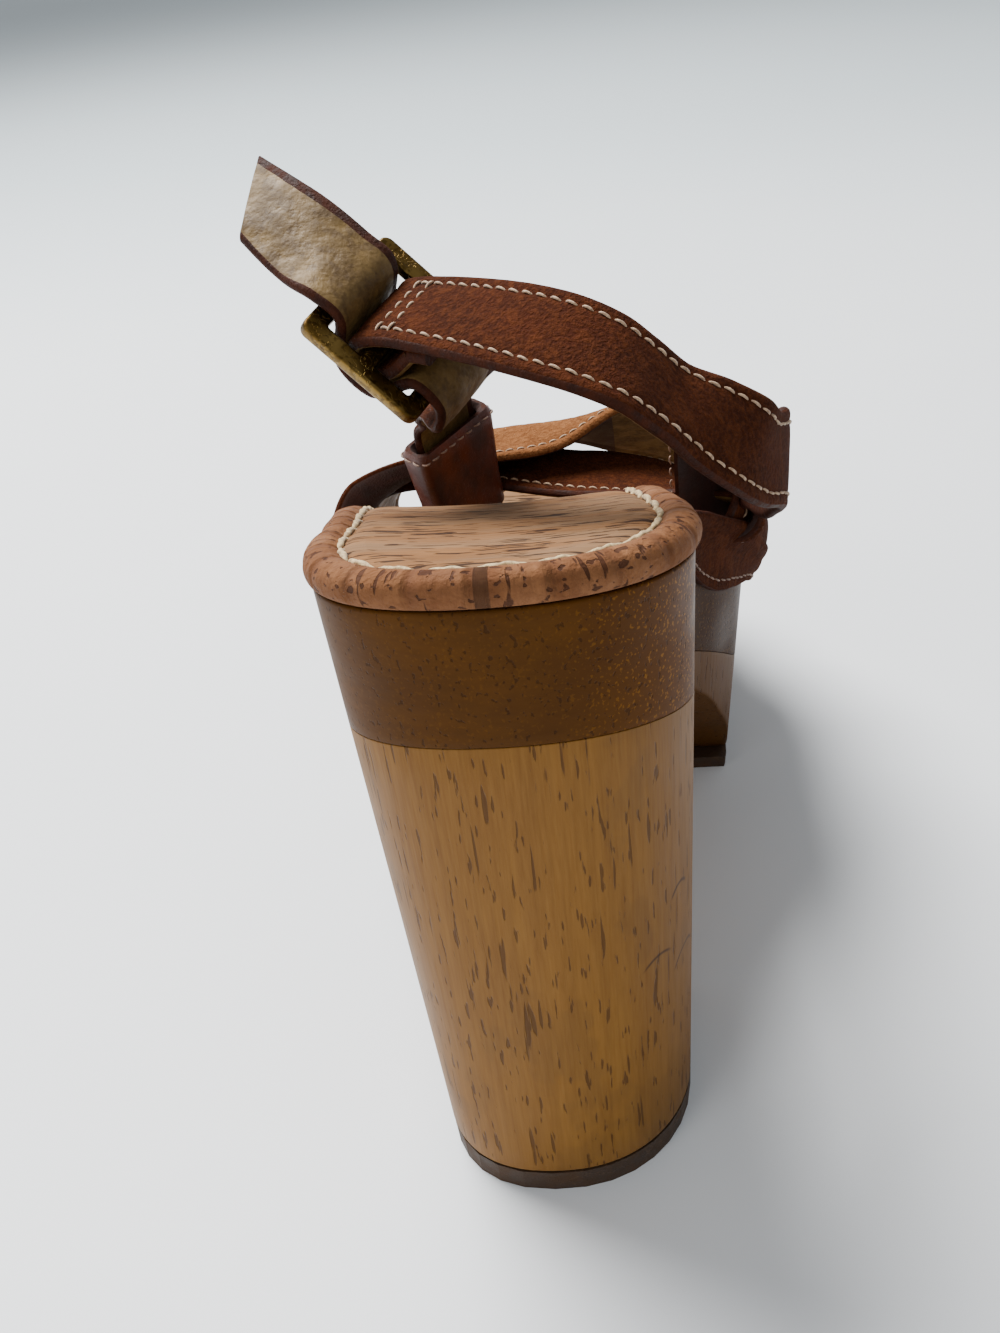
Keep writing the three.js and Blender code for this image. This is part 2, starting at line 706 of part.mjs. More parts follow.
function roundedRect(path, halfX, lowY, highY, radius) {
  path.moveTo(-halfX + radius, lowY);
  path.lineTo(halfX - radius, lowY);
  path.absarc(halfX - radius, lowY + radius, radius, -Math.PI / 2, 0, false);
  path.lineTo(halfX, highY - radius);
  path.absarc(halfX - radius, highY - radius, radius, 0, Math.PI / 2, false);
  path.lineTo(-halfX + radius, highY);
  path.absarc(-halfX + radius, highY - radius, radius, Math.PI / 2, Math.PI, false);
  path.lineTo(-halfX, lowY + radius);
  path.absarc(-halfX + radius, lowY + radius, radius, Math.PI, 1.5 * Math.PI, false);
  return path;
}

function makeBuckle() {
  const inner = STRAP_WIDTH / 2 + STRAP_PLAY;
  const outer = inner + BUCKLE_BAR;
  const reach = BUCKLE_HALF + BUCKLE_BAR / 2;
  const shape = roundedRect(new THREE.Shape(), outer, -reach, reach, BUCKLE_BAR / 2);
  const windowEnd = BUCKLE_HALF - BUCKLE_BAR / 2;
  const corner = BUCKLE_BAR / 6;
  shape.holes.push(roundedRect(new THREE.Path(), inner, CENTRE_BAR / 2, windowEnd, corner));
  shape.holes.push(roundedRect(new THREE.Path(), inner, -windowEnd, -CENTRE_BAR / 2, corner));
  return buckleBlock(shape, BUCKLE_PLATE);
}

// Prong: an eye round the centre bar, then a straight pin under the far crossbar
function makeProng() {
  const eye = Math.hypot(CENTRE_BAR, BUCKLE_PLATE) / 2 + 2 * GAP + PRONG / 2;
  const pinFace = -(BUCKLE_PLATE / 2 + GAP + PRONG / 2);
  const rows = [];
  for (let i = 0; i <= EYE_STEPS; i += 1) {
    const turn = Math.PI * (PRONG_EYE.from + (PRONG_EYE.to - PRONG_EYE.from) * (i / EYE_STEPS));
    rows.push({ at: inBuckle(eye * Math.cos(turn), eye * Math.sin(turn)), across: BUCKLE.across });
  }
  rows.push({ at: inBuckle(BUCKLE_HALF + BUCKLE_BAR / 2, pinFace), across: BUCKLE.across });
  return strap(rows, PRONG, PRONG, 1, 1);
}

// Sleeve that a strap slides through: its middle, width direction and run
function sleeveAt(place) {
  const y = placeAt(place.along);
  const at = new THREE.Vector3((place.out * BALL_WIDTH) / 2, y, corkLine(y) + VAMP_RISE * place.up);
  const across = widthway(place.turn, place.tilt);
  const run = widthway(place.runTurn, place.runTilt);
  run.addScaledVector(across, -run.dot(across)).normalize();
  return { at, across, run, face: new THREE.Vector3().crossVectors(across, run).negate() };
}

function sleeveBlock({ at, across, run, face }, shape, length) {
  const geometry = plate(shape, length);
  geometry.translate(0, 0, -length / 2);
  geometry.applyMatrix4(new THREE.Matrix4().makeBasis(across, face, run));
  geometry.translate(...at.toArray());
  return solidFrom(geometry);
}

function sleeveShape(thickness, grow) {
  const halfY = thickness / 2 + STRAP_PLAY + grow;
  const halfX = STRAP_WIDTH / 2 + STRAP_PLAY + grow;
  return roundedRect(new THREE.Shape(), halfX, -halfY, halfY, halfY / 2 + grow / 2);
}

// Straight stretch of a strap inside its sleeve, from one end to the other
function throughSleeve(sleeve, { from, to }) {
  return [from, (from + to) / 2, to].map((share) => ({
    at: sleeve.at.clone().addScaledVector(sleeve.run, SLEEVE_LENGTH * share),
    across: sleeve.across,
  }));
}

const outerSleeve = sleeveAt(OUTER_SLEEVE);
const innerSleeve = sleeveAt(INNER_SLEEVE);

function makeVamp() {
  const bands = vampBand(LOWER_BAND, 0, 0).add(vampBand(UPPER_BAND, 0, 0));
  const withSleeve = (solid, sleeve, thickness) => solid
    .add(sleeveBlock(sleeve, sleeveShape(thickness, VAMP_WALL), SLEEVE_LENGTH))
    .subtract(sleeveBlock(sleeve, sleeveShape(thickness, 0), SLEEVE_LENGTH + STRAP_WIDTH));
  return withSleeve(withSleeve(bands, outerSleeve, BILLET_WALL), innerSleeve, STRAP_WALL)
    .subtract(billetSweep(GAP));
}

// Heel strap: it wraps the centre bar, and its short end is sewn under the strap itself
function makeSling() {
  const rows = [...SLING.map(routeRow), ...throughSleeve(innerSleeve, SLING_STRETCH)];
  const away = new THREE.Vector3().subVectors(rows[0].at, BUCKLE.at);
  away.addScaledVector(BUCKLE.across, -away.dot(BUCKLE.across)).normalize();
  const up = new THREE.Vector3().crossVectors(away, BUCKLE.across);
  const wrap = Math.hypot(CENTRE_BAR, BUCKLE_PLATE) / 2 + GAP + STRAP_WALL / 2;
  const place = (run, rise) => ({
    at: BUCKLE.at.clone().addScaledVector(away, run).addScaledVector(up, rise),
    across: BUCKLE.across,
  });
  const fold = [];
  for (let i = 0; i <= FOLD_STEPS; i += 1) {
    const turn = Math.PI * (1.5 - i / FOLD_STEPS);
    fold.push(place(wrap * Math.cos(turn), wrap * Math.sin(turn)));
  }
  const front = strap([...fold, place(STRAP_WIDTH / 3, wrap), ...rows], STRAP_WIDTH, STRAP_WALL, 2, 2);
  const end = SEWN_END.map(({ run, rise }) => place(STRAP_WIDTH * run, wrap * rise));
  const back = strap(end, STRAP_WIDTH, STRAP_WALL, 2, 2);
  const slot = roundedRect(new THREE.Shape(), PRONG / 2 + STRAP_PLAY, -2 * wrap, 2 * wrap, PRONG / 2);
  return front.add(back).subtract(buckleBlock(slot, 4 * wrap));
}

// Billet: from its free tip through the buckle and down into the outer sleeve
function billetSweep(margin) {
  const crossbarPass = BUCKLE_PLATE / 2 + 2 * GAP + BILLET_WALL / 2;
  const pass = ({ half, bar, over, under }) => ({
    at: inBuckle(BUCKLE_HALF * half + BUCKLE_BAR * bar, crossbarPass * over - CENTRE_PASS * under),
    across: BUCKLE.across,
  });
  const rows = [
    ...BILLET_TIP.map(routeRow),
    ...BILLET_PASS.map(pass),
    ...BILLET_ROOT.map(routeRow),
    ...throughSleeve(outerSleeve, BILLET_STRETCH),
  ];
  return strap(rows, STRAP_WIDTH + 2 * margin, BILLET_WALL + 2 * margin, 2, STRAP_STEPS);
}

function makeBillet() {
  const hole = roundedRect(
    new THREE.Shape(),
    PIN_HOLE / 2,
    BUCKLE_HALF * PIN_SLOT.from,
    BUCKLE_HALF * PIN_SLOT.to,
    PRONG / 2,
  );
  return billetSweep(0).subtract(buckleBlock(hole, 2 * BUCKLE_HALF));
}

// Finishes
function finish(color, roughness, metalness) {
  return new THREE.MeshStandardMaterial({ color, roughness, metalness });
}

const rubber = finish(0x3a2417, 0.7, 0);
const paleWood = finish(0xcf9f5f, 0.5, 0);
const brownWood = finish(0x8f6437, 0.45, 0);
const corkSkin = finish(0xb68a66, 0.75, 0);
const suede = finish(0x7d4a2c, 0.9, 0);
const goldLeather = finish(0xa98a4f, 0.45, 0.3);
const brass = finish(0xb89a5e, 0.3, 1);

// Assembly
const sandal = new THREE.Group();

function add(name, solid, material) {
  const mesh = new THREE.Mesh(geometryOf(solid), material);
  mesh.name = name;
  sandal.add(mesh);
}

const wall = solidFrom(soleWall());
add('heel_lift', makeLift(wall), rubber);
add('fore_outsole', makeOutsole(wall), rubber.clone());
add('wood_platform', makeWood(wall), paleWood);
add('midsole_band', makeBand(wall), brownWood);

const underCork = [...sidePlan(corkLine, 0), [TOE_END, 0], [BACK_END, 0]];
let footbed = makeFootbed().subtract(sideCut(underCork));
[LOWER_BAND, UPPER_BAND].forEach((table) => {
  footbed = footbed.subtract(vampBand(table, TUCK_PLAY, TUCK_WALL));
});
add('cork_footbed', footbed, corkSkin);

add('vamp_bands', makeVamp(), suede);
add('heel_strap', makeSling(), suede.clone());
add('billet_strap', makeBillet(), goldLeather);
add('buckle_frame', makeBuckle(), brass);
add('buckle_prong', makeProng(), brass.clone());

export default sandal;
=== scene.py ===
# Left platform sandal: wooden heel and platform under a dark wooden band, cork footbed with
# a sewn rim, crossed vamp bands and a buckled heel strap, all in suede lined with gold leather.
# Sizes are in millimetres and turned into metres where a mesh is made.
# +Y runs to the toe, +X to the inner side of the foot, +Z up from the floor.

import math
import random

import bpy
from mathutils import Matrix, Vector, noise


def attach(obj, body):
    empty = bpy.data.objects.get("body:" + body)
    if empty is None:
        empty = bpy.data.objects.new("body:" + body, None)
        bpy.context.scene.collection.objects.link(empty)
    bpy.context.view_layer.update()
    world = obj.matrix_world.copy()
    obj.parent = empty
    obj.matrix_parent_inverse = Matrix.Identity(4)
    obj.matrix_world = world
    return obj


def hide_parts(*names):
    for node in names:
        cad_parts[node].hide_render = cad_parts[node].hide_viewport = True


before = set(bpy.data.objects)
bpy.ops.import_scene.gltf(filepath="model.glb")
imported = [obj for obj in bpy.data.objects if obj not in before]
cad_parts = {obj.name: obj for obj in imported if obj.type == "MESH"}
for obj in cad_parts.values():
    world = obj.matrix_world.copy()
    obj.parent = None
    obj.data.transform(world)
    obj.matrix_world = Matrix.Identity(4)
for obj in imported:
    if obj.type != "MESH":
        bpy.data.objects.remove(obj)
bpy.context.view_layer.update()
MM = 0.001
BODY = "root"

# Stitch draws and noise start from one seed, so each run makes the same sandal
SEED = 7
DRAW = random.Random(SEED)
noise.seed_set(SEED)

# Camera, as the photograph was taken, turned to face this sandal
EYE = (20.75, -181.5, 213.0)
PHOTO_TILT = 57.55
PHOTO_TURN = -6.0
PHOTO_FOCAL = 950.0
PHOTO_SIZE = (1000.0, 1333.0)
SANDAL_CENTRE = (309.0, 668.0)
CLOSER = 1.38

# Sole
SHOE_LENGTH = 225.0
HEEL_REACH = 29.0
SEAT_WIDTH = 59.0
BALL_WIDTH = 91.0
HEEL_HEIGHT = 126.7
PLATFORM_HEIGHT = 43.0
BAND_DEPTH = 23.3
HEEL_LIFT = 5.0
OUTSOLE = 3.5
TOE_SPRING = 6.0
HEEL_FRONT = 25.0
WAIST = 7.0
CONTACT_START = 106.0
HEEL_SIDE_TAPER = 5.6
HEEL_LEAN = 1.3
HEEL_BACK_TAPER = 2.6
FORE_TAPER = 5.0
GAP = 0.3

# Upper
VAMP_WALL = 2.2
VAMP_RISE = 49.0
VAMP_BULGE = 5.0
TUCK = 7.0
BAND_LIFT = 8.0
LAST_SHOULDER = 0.32
INSTEP_SHIFT = 0.08
ARCH_ROWS = 16

# Ankle straps and buckle
STRAP_WIDTH = 18.0
STRAP_WALL = 2.4
BILLET_WALL = 2.0
ANKLE_RISE = 30.7
BUCKLE_BAR = 3.4
BUCKLE_PLATE = 2.4
BUCKLE_HALF = 10.2
CENTRE_BAR = 2.8
PRONG = 1.8
CENTRE_PASS = 6.6
SLEEVE_LENGTH = 18.0
STRAP_PLAY = 0.5


def table(columns, rows):
    """Rows of a table as dictionaries of its named columns."""
    return [dict(zip(columns.split(), row)) for row in rows]


# Plan of the sole: along = share of the length from the back, mid = share of the ball width,
# spread = 0 where it is as wide as the seat, 1 where it is as wide as the ball
PLAN = table("along mid spread", [
    (0.00, -0.015, 0.000),
    (0.13, 0.000, 0.000),
    (0.28, -0.045, -0.024),
    (0.39, -0.062, 0.147),
    (0.46, -0.050, 0.431),
    (0.52, -0.020, 0.784),
    (0.59, 0.004, 0.983),
    (0.70, 0.012, 1.000),
    (0.82, 0.022, 0.784),
    (1.00, 0.060, 0.431),
])
SEAT_CAP = {"along": 0.129, "power": 2.2}
TOE_CAP = {"along": 0.22, "power": 2.3}
TAPER_CHANGE = {"from": 0.25, "to": 0.6}
SPRING_FROM = 0.84

# Side profile: rise = share of the drop from heel height to platform height,
# band = dark band's upright depth as a share of its depth at the back
PROFILE = table("along rise band", [
    (0.00, 1.000, 1.00),
    (0.13, 0.921, 1.14),
    (0.25, 0.820, 1.20),
    (0.33, 0.720, 1.22),
    (0.40, 0.598, 1.24),
    (0.46, 0.470, 1.22),
    (0.53, 0.315, 1.14),
    (0.58, 0.192, 1.02),
    (0.63, 0.108, 0.92),
    (0.69, 0.045, 0.86),
    (0.76, 0.010, 0.84),
    (0.84, 0.000, 0.84),
    (1.00, 0.030, 0.84),
])

# Underside between heel and platform: run = share of the way from the heel's front to the
# platform's contact, up = share of the way from the lift up to the waist's underside
ARCH = table("run up", [
    (0.000, 0.00),
    (0.015, 0.35),
    (0.035, 0.61),
    (0.08, 0.78),
    (0.17, 0.90),
    (0.29, 0.97),
    (0.43, 1.00),
    (0.58, 0.95),
    (0.72, 0.82),
    (0.84, 0.585),
    (0.93, 0.33),
])

# Height of the vamp over the cork line along the shoe, as a share of the vamp's rise
INSTEP = table("along rise", [
    (0.46, 0.40),
    (0.56, 0.56),
    (0.62, 0.78),
    (0.68, 0.98),
    (0.73, 0.95),
    (0.80, 0.78),
    (0.88, 0.58),
])

# Side of the last from the tuck to the shoulder: out = share of the bulge,
# tucked = share of the tuck, up = share of the vamp's rise
LAST_SIDE = table("tucked out up", [
    (1.0, 0.00, 0.020),
    (0.2, 0.00, 0.020),
    (0.0, 0.52, 0.034),
    (0.0, 0.80, 0.110),
    (0.0, 0.96, 0.210),
    (0.0, 1.00, 0.320),
])

# Vamp bands: from = 0 at the outer tuck, 1 at the inner tuck, rear and front = shares of the
# length, lift = share of the band lift at the rear edge, sag = share of the vamp's rise at the front
LOWER_BAND = table("from rear front lift sag", [
    (0.00, 0.700, 0.825, 0, 0.00),
    (0.25, 0.655, 0.790, 0, 0.00),
    (0.38, 0.605, 0.745, -0.3, 0.11),
    (0.50, 0.570, 0.705, -0.8, 0.32),
    (0.72, 0.515, 0.668, -0.6, 0.26),
    (0.83, 0.495, 0.662, -0.2, 0.05),
    (0.90, 0.483, 0.661, 0, 0.00),
    (1.00, 0.465, 0.660, 0, 0.00),
])
UPPER_BAND = table("from rear front lift sag", [
    (0.00, 0.535, 0.645, 0, 0.00),
    (0.20, 0.543, 0.660, 0.1, 0.00),
    (0.28, 0.550, 0.675, 0.9, 0.00),
    (0.36, 0.558, 0.692, 1.1, 0.00),
    (0.42, 0.585, 0.712, 0.5, 0.08),
    (0.48, 0.615, 0.740, 0, 0.17),
    (0.55, 0.650, 0.775, 0.45, 0.24),
    (0.72, 0.695, 0.812, 0.65, 0.24),
    (0.83, 0.710, 0.826, 0.3, 0.03),
    (0.90, 0.713, 0.832, 0, 0.00),
    (1.00, 0.720, 0.840, 0, 0.00),
])

# Places in the ankle straps: out = share of half the seat width, along = share of the length,
# up = share of the ankle rise above the cork line, turn and tilt = direction of the width
BUCKLE_PLACE = {"out": -0.58, "along": 0.271, "up": 1.21, "turn": 60, "tilt": 18}
BUCKLE_LONG = {"turn": 164, "tilt": 46}
BILLET_TIP = table("out along up turn tilt", [
    (-1.373, 0.323, 2.07, 82, 32),
    (-1.136, 0.296, 1.83, 73, 37),
])
BILLET_ROOT = table("out along up turn tilt", [
    (-0.33, 0.320, 0.87, 44, 15),
    (-0.44, 0.380, 0.97, 42, 13),
    (-0.54, 0.450, 1.13, 44, 13),
    (-0.61, 0.512, 1.29, 47, 14),
])
SLING = table("out along up turn tilt", [
    (0.345, 0.184, 1.078, 76, 29),
    (0.602, 0.172, 0.962, 72, 22),
    (0.754, 0.172, 0.858, 74, 17),
    (0.931, 0.182, 0.702, 75, 17),
    (1.13, 0.191, 0.565, 64, 25),
    (1.334, 0.204, 0.42, 62, 33),
    (1.451, 0.229, 0.318, 71, 37),
    (1.568, 0.27, 0.293, 80, 50),
    (1.59, 0.33, 0.27, 84, 64),
    (1.58, 0.42, 0.36, 86, 62),
])
OUTER_SLEEVE = {"out": -0.4376, "along": 0.5525, "up": 0.649, "turn": 48, "tilt": 14}
OUTER_RUN = {"turn": -70, "tilt": 80}
INNER_SLEEVE = {"out": 0.992, "along": 0.55, "up": 0.4776, "turn": 90, "tilt": 62}
INNER_RUN = {"turn": 88, "tilt": -26}
BILLET_STRETCH = (0.7, -0.52)
SLING_STRETCH = (-0.7, 0.55)

# Billet's way through the buckle: half and bar = shares of the buckle's half length and of its
# bar, over = share of the clearance over a crossbar, under = share of the centre bar's pass
BILLET_PASS = table("half bar over under", [
    (1, 1, 1, 0),
    (1, -0.6, 1, 0),
    (0.35, 0, 0, 1),
    (-0.35, 0, 0, 1),
    (-1, 0.6, 1, 0),
    (-1, -1, 0.7, 0),
    (-1, -1.5, 0, 0.36),
])


# Curves and lines of the sole
def blend(first, then, start, end, t):
    """Curve from one value or point to the next, leaving and arriving with given slopes."""
    rest = 1 - t
    return (first * (1 + 2 * t) * rest * rest + then * t * t * (3 - 2 * t)
            + start * t * rest * rest - end * t * t * rest)


def smooth(rows, key, at, column):
    """Value of a table's column at a place, on a curve that never overshoots its rows."""
    if at <= rows[0][key]:
        return rows[0][column]
    if at >= rows[-1][key]:
        return rows[-1][column]
    i = 0
    while at > rows[i + 1][key]:
        i += 1

    def slope(a):
        return (rows[a + 1][column] - rows[a][column]) / (rows[a + 1][key] - rows[a][key])

    def tangent(before, after):
        return 0 if before * after <= 0 else 2 * before * after / (before + after)

    span = rows[i + 1][key] - rows[i][key]
    here = slope(i)
    start = tangent(slope(i - 1), here) if i > 0 else here
    end = tangent(here, slope(i + 1)) if i + 2 < len(rows) else here
    return blend(rows[i][column], rows[i + 1][column], span * start, span * end, (at - rows[i][key]) / span)


def share_at(y):
    return (y + HEEL_REACH) / SHOE_LENGTH


def place_at(share):
    return share * SHOE_LENGTH - HEEL_REACH


def cork_line(y):
    return PLATFORM_HEIGHT + (HEEL_HEIGHT - PLATFORM_HEIGHT) * smooth(PROFILE, "along", share_at(y), "rise")


def band_line(y):
    return cork_line(y) - BAND_DEPTH * smooth(PROFILE, "along", share_at(y), "band")


def tread_line(y):
    start = place_at(SPRING_FROM)
    return TOE_SPRING * max(0.0, (y - start) / (place_at(1) - start)) ** 2


def underside(y):
    """Lower face of the wood: heel, arch, then the platform's tread."""
    if y <= HEEL_FRONT:
        return HEEL_LIFT
    if y >= CONTACT_START:
        return tread_line(y) + OUTSOLE
    run = (y - HEEL_FRONT) / (CONTACT_START - HEEL_FRONT)
    rows = ARCH + [{"run": 1.0, "up": (OUTSOLE - HEEL_LIFT) / (band_line(y) - WAIST - HEEL_LIFT)}]
    return HEEL_LIFT + (band_line(y) - WAIST - HEEL_LIFT) * smooth(rows, "run", run, "up")


def half_width(share):
    curve = 1.0
    if share < SEAT_CAP["along"]:
        curve = (1 - (1 - share / SEAT_CAP["along"]) ** SEAT_CAP["power"]) ** (1 / SEAT_CAP["power"])
    if share > 1 - TOE_CAP["along"]:
        reach = (share - 1 + TOE_CAP["along"]) / TOE_CAP["along"]
        curve = max(0.0, 1 - reach ** TOE_CAP["power"]) ** (1 / TOE_CAP["power"])
    spread = smooth(PLAN, "along", share, "spread")
    return (SEAT_WIDTH + (BALL_WIDTH - SEAT_WIDTH) * spread) / 2 * curve


def edge(y, side):
    share = share_at(y)
    return BALL_WIDTH * smooth(PLAN, "along", share, "mid") + side * half_width(share)


# Outline of the sole as a ring: up the outer side to the toe, back down the inner side
STATIONS = 120
BREAST_SHARES = [share_at(HEEL_FRONT + (CONTACT_START - HEEL_FRONT) * row["run"]) for row in ARCH[:5]]


def station_shares():
    shares = [(1 - math.cos(math.pi * i / STATIONS)) / 2 for i in range(STATIONS + 1)]
    near = 0.35 / STATIONS
    kept = [s for s in shares if all(abs(s - b) > near for b in BREAST_SHARES)]
    return sorted(kept + BREAST_SHARES)


SHARES = station_shares()
TOE = len(SHARES) - 1
RING = [Vector((edge(place_at(s), -1), place_at(s))) for s in SHARES]
RING += [Vector((edge(place_at(s), 1), place_at(s))) for s in reversed(SHARES[1:-1])]
RING_SIZE = len(RING)


def lengths_along(path):
    lengths = [0.0]
    for a, b in zip(path, path[1:]):
        lengths.append(lengths[-1] + (b - a).length)
    return lengths


def ring_normals():
    normals = []
    for i in range(RING_SIZE):
        along = (RING[(i + 1) % RING_SIZE] - RING[i - 1]).normalized()
        normals.append(Vector((-along.y, along.x)))
    return normals


RING_OUT = ring_normals()
RING_LENGTH = lengths_along(RING + RING[:1])


def floor_inset(i):
    """How far the sole's wall has come in from the outline where it meets the floor."""
    t = (share_at(RING[i].y) - TAPER_CHANGE["from"]) / (TAPER_CHANGE["to"] - TAPER_CHANGE["from"])
    t = min(max(t, 0.0), 1.0)
    fore = t * t * (3 - 2 * t)
    side = abs(RING_OUT[i].x)
    lean = HEEL_SIDE_TAPER - math.copysign(HEEL_LEAN, RING_OUT[i].x)
    heel = lean * side ** 2 + HEEL_BACK_TAPER * (1 - side ** 2)
    return heel * (1 - fore) + FORE_TAPER * fore


def wall_point(i, z, inwards=0.0):
    """Point of the sole's side wall at a height, moved inwards from the wall."""
    inset = floor_inset(i) * (1 - z / cork_line(RING[i].y)) + inwards
    at = RING[i] - RING_OUT[i] * inset
    return Vector((at.x, at.y, z))


# Mesh making
def put(name, data):
    made = bpy.data.objects.new(name, data)
    bpy.context.scene.collection.objects.link(made)
    return made


def new_piece(name, points, faces, materials, faces_of=None, uvs=None, sharp=40):
    """A smooth-shaded mesh object in metres from points in millimetres."""
    mesh = bpy.data.meshes.new(name)
    mesh.from_pydata([Vector(p) * MM for p in points], [], faces)
    for material in materials:
        mesh.materials.append(material)
    if faces_of:
        mesh.polygons.foreach_set("material_index", faces_of)
    if uvs:
        layer = mesh.uv_layers.new(name="Length")
        for loop in mesh.loops:
            layer.data[loop.index].uv = uvs[loop.vertex_index]
    mesh.validate()
    mesh.shade_smooth()
    mesh.set_sharp_from_angle(angle=math.radians(sharp))
    return put(name, mesh)


def dress(piece, slot, *nodes):
    """The piece rides on the sandal and stands for the nodes, which it hides; the slot is not used."""
    if nodes:
        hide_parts(*nodes)
    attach(piece, BODY)
    return piece


def loop_faces(rings, size, start=0):
    """Faces between neighbouring rings of points, numbered from start."""
    faces = []
    for r in range(rings - 1):
        for i in range(size):
            a = start + r * size + i
            b = start + r * size + (i + 1) % size
            faces.append((a, b, b + size, a + size))
    return faces


def ring_skin(rings):
    """Points and faces of a skin over rings that run the other way round."""
    points = [p for ring in rings for p in ring]
    return points, [(a, d, c, b) for a, b, c, d in loop_faces(len(rings), len(rings[0]))]


def across_cap(start, upwards):
    """Faces that close one ring of the sole, each joining the two sides at one station."""
    faces = []
    for i in range(TOE):
        corners = [i, i + 1, (RING_SIZE - i - 1) % RING_SIZE, (RING_SIZE - i) % RING_SIZE]
        loop = list(dict.fromkeys(start + corner for corner in corners))
        faces.append(loop if upwards else loop[::-1])
    return faces


ROUNDING = [0.0, 0.12, 0.3, 0.6, 1.0]
WALL_ROWS = 14


def sole_piece(name, low, high, low_round, high_round, material):
    """Slice of the sole between two lines along the shoe, with softened edges."""
    corner = [(1 - math.sin(t * math.pi / 2), 1 - math.cos(t * math.pi / 2)) for t in ROUNDING]
    rows = [(low_round * inwards, 0, low_round * shift) for inwards, shift in corner]
    rows += [(0.0, k / WALL_ROWS, 0.0) for k in range(1, WALL_ROWS)]
    rows += [(high_round * inwards, 1, -high_round * shift) for inwards, shift in reversed(corner)]
    rings = []
    for inwards, share, shift in rows:
        ring = []
        for i in range(RING_SIZE):
            y = RING[i].y
            bottom = low(y) + low_round
            top = high(y) - high_round
            if share == 0:
                z = low(y) + shift
            elif share == 1:
                z = high(y) + shift
            else:
                z = bottom + (top - bottom) * share
            ring.append(wall_point(i, z, inwards))
        rings.append(ring)
    points, faces = ring_skin(rings)
    faces += across_cap(0, False)
    faces += across_cap((len(rings) - 1) * RING_SIZE, True)
    return new_piece(name, points, faces, [material])


# Straps and bands: a sheet of leather with a rounded edge, from rows of points across it
class Skin:
    """Middle surface of a leather sheet; row runs along it and column across it."""

    def __init__(self, rows):
        self.rows = rows
        self.last_row = len(rows) - 1
        self.last_column = len(rows[0]) - 1
        self.normals = [[self.normal_at(r, c) for c in range(self.last_column + 1)]
                        for r in range(self.last_row + 1)]

    def near(self, r, c):
        return self.rows[min(max(r, 0), self.last_row)][min(max(c, 0), self.last_column)]

    def normal_at(self, r, c):
        along = self.near(r + 1, c) - self.near(r - 1, c)
        across = self.near(r, c + 1) - self.near(r, c - 1)
        return along.cross(across).normalized()

    def spot(self, row, column):
        """Point and normal at a row and column that may lie between those of the grid."""
        r = min(int(row), self.last_row - 1)
        c = min(int(column), self.last_column - 1)
        u = row - r
        v = column - c

        def mix(grid):
            near = grid[r][c].lerp(grid[r][c + 1], v)
            far = grid[r + 1][c].lerp(grid[r + 1][c + 1], v)
            return near.lerp(far, u)

        return mix(self.rows), mix(self.normals).normalized()


def edge_columns(width, inner_steps, rounding, seam):
    """Distances from the middle of a strip: close at its rounded edges and beside its seam."""
    half = width / 2
    left = [-half + rounding * share for share in (0.0, 0.13, 0.5, 1.0)]
    left += [-half + seam + beside for beside in (-0.9, -0.45, 0.0, 0.45, 0.9)]
    inner = [left[-1] + (-2 * left[-1]) * k / inner_steps for k in range(1, inner_steps)]
    return left + inner + [-d for d in reversed(left)]


EDGE_COLUMNS = 2
RIPPLE_SIZE = 14.0


def sheet_piece(name, skin, distances, wall, seam, groove, materials, crown=0.0, pick=None):
    """Closed leather sheet: face, lining and rounded painted edges, with grooves at its seams.
    pick(kind, column, share) may give another finish at a place of the face or the lining."""
    reach = abs(distances[0])
    points = []
    uvs = []
    columns = len(distances)
    run = 0.0
    for r in range(skin.last_row + 1):
        if r:
            run += (skin.rows[r][columns // 2] - skin.rows[r - 1][columns // 2]).length
        for side in (1, -1):
            order = range(columns) if side == 1 else range(columns - 1, -1, -1)
            for c in order:
                inset = reach - abs(distances[c])
                share = min(inset / (wall / 2), 1.0)
                thick = wall / 2 * math.sqrt(max(0.0, 1 - (1 - share) ** 2))
                if seam:
                    thick -= groove * math.exp(-(((inset - seam) / 0.45) ** 2))
                    thick += crown * min(max(inset - seam, 0) / seam, 1.0)
                at = skin.rows[r][c] + skin.normals[r][c] * thick * side
                points.append(at)
                uvs.append((distances[c] * MM, run * MM))
    size = 2 * columns
    faces = loop_faces(skin.last_row + 1, size)
    kinds = []
    for r in range(skin.last_row):
        for i in range(size):
            column = i if i < columns else size - 1 - i
            rim = min(column, columns - 1 - column)
            if i in (columns - 1, size - 1) or rim < EDGE_COLUMNS:
                kind = 2
            else:
                kind = 0 if i < columns else 1
            kinds.append(pick(kind, min(column, columns - 2), r / skin.last_row) if pick else kind)
    for r, flip in ((0, False), (skin.last_row, True)):
        for c in range(columns - 1):
            quad = [r * size + c, r * size + size - 1 - c, r * size + size - 2 - c, r * size + c + 1]
            faces.append(quad[::-1] if flip else quad)
            kinds.append(2)
    return new_piece(name, points, faces, materials, kinds, uvs)


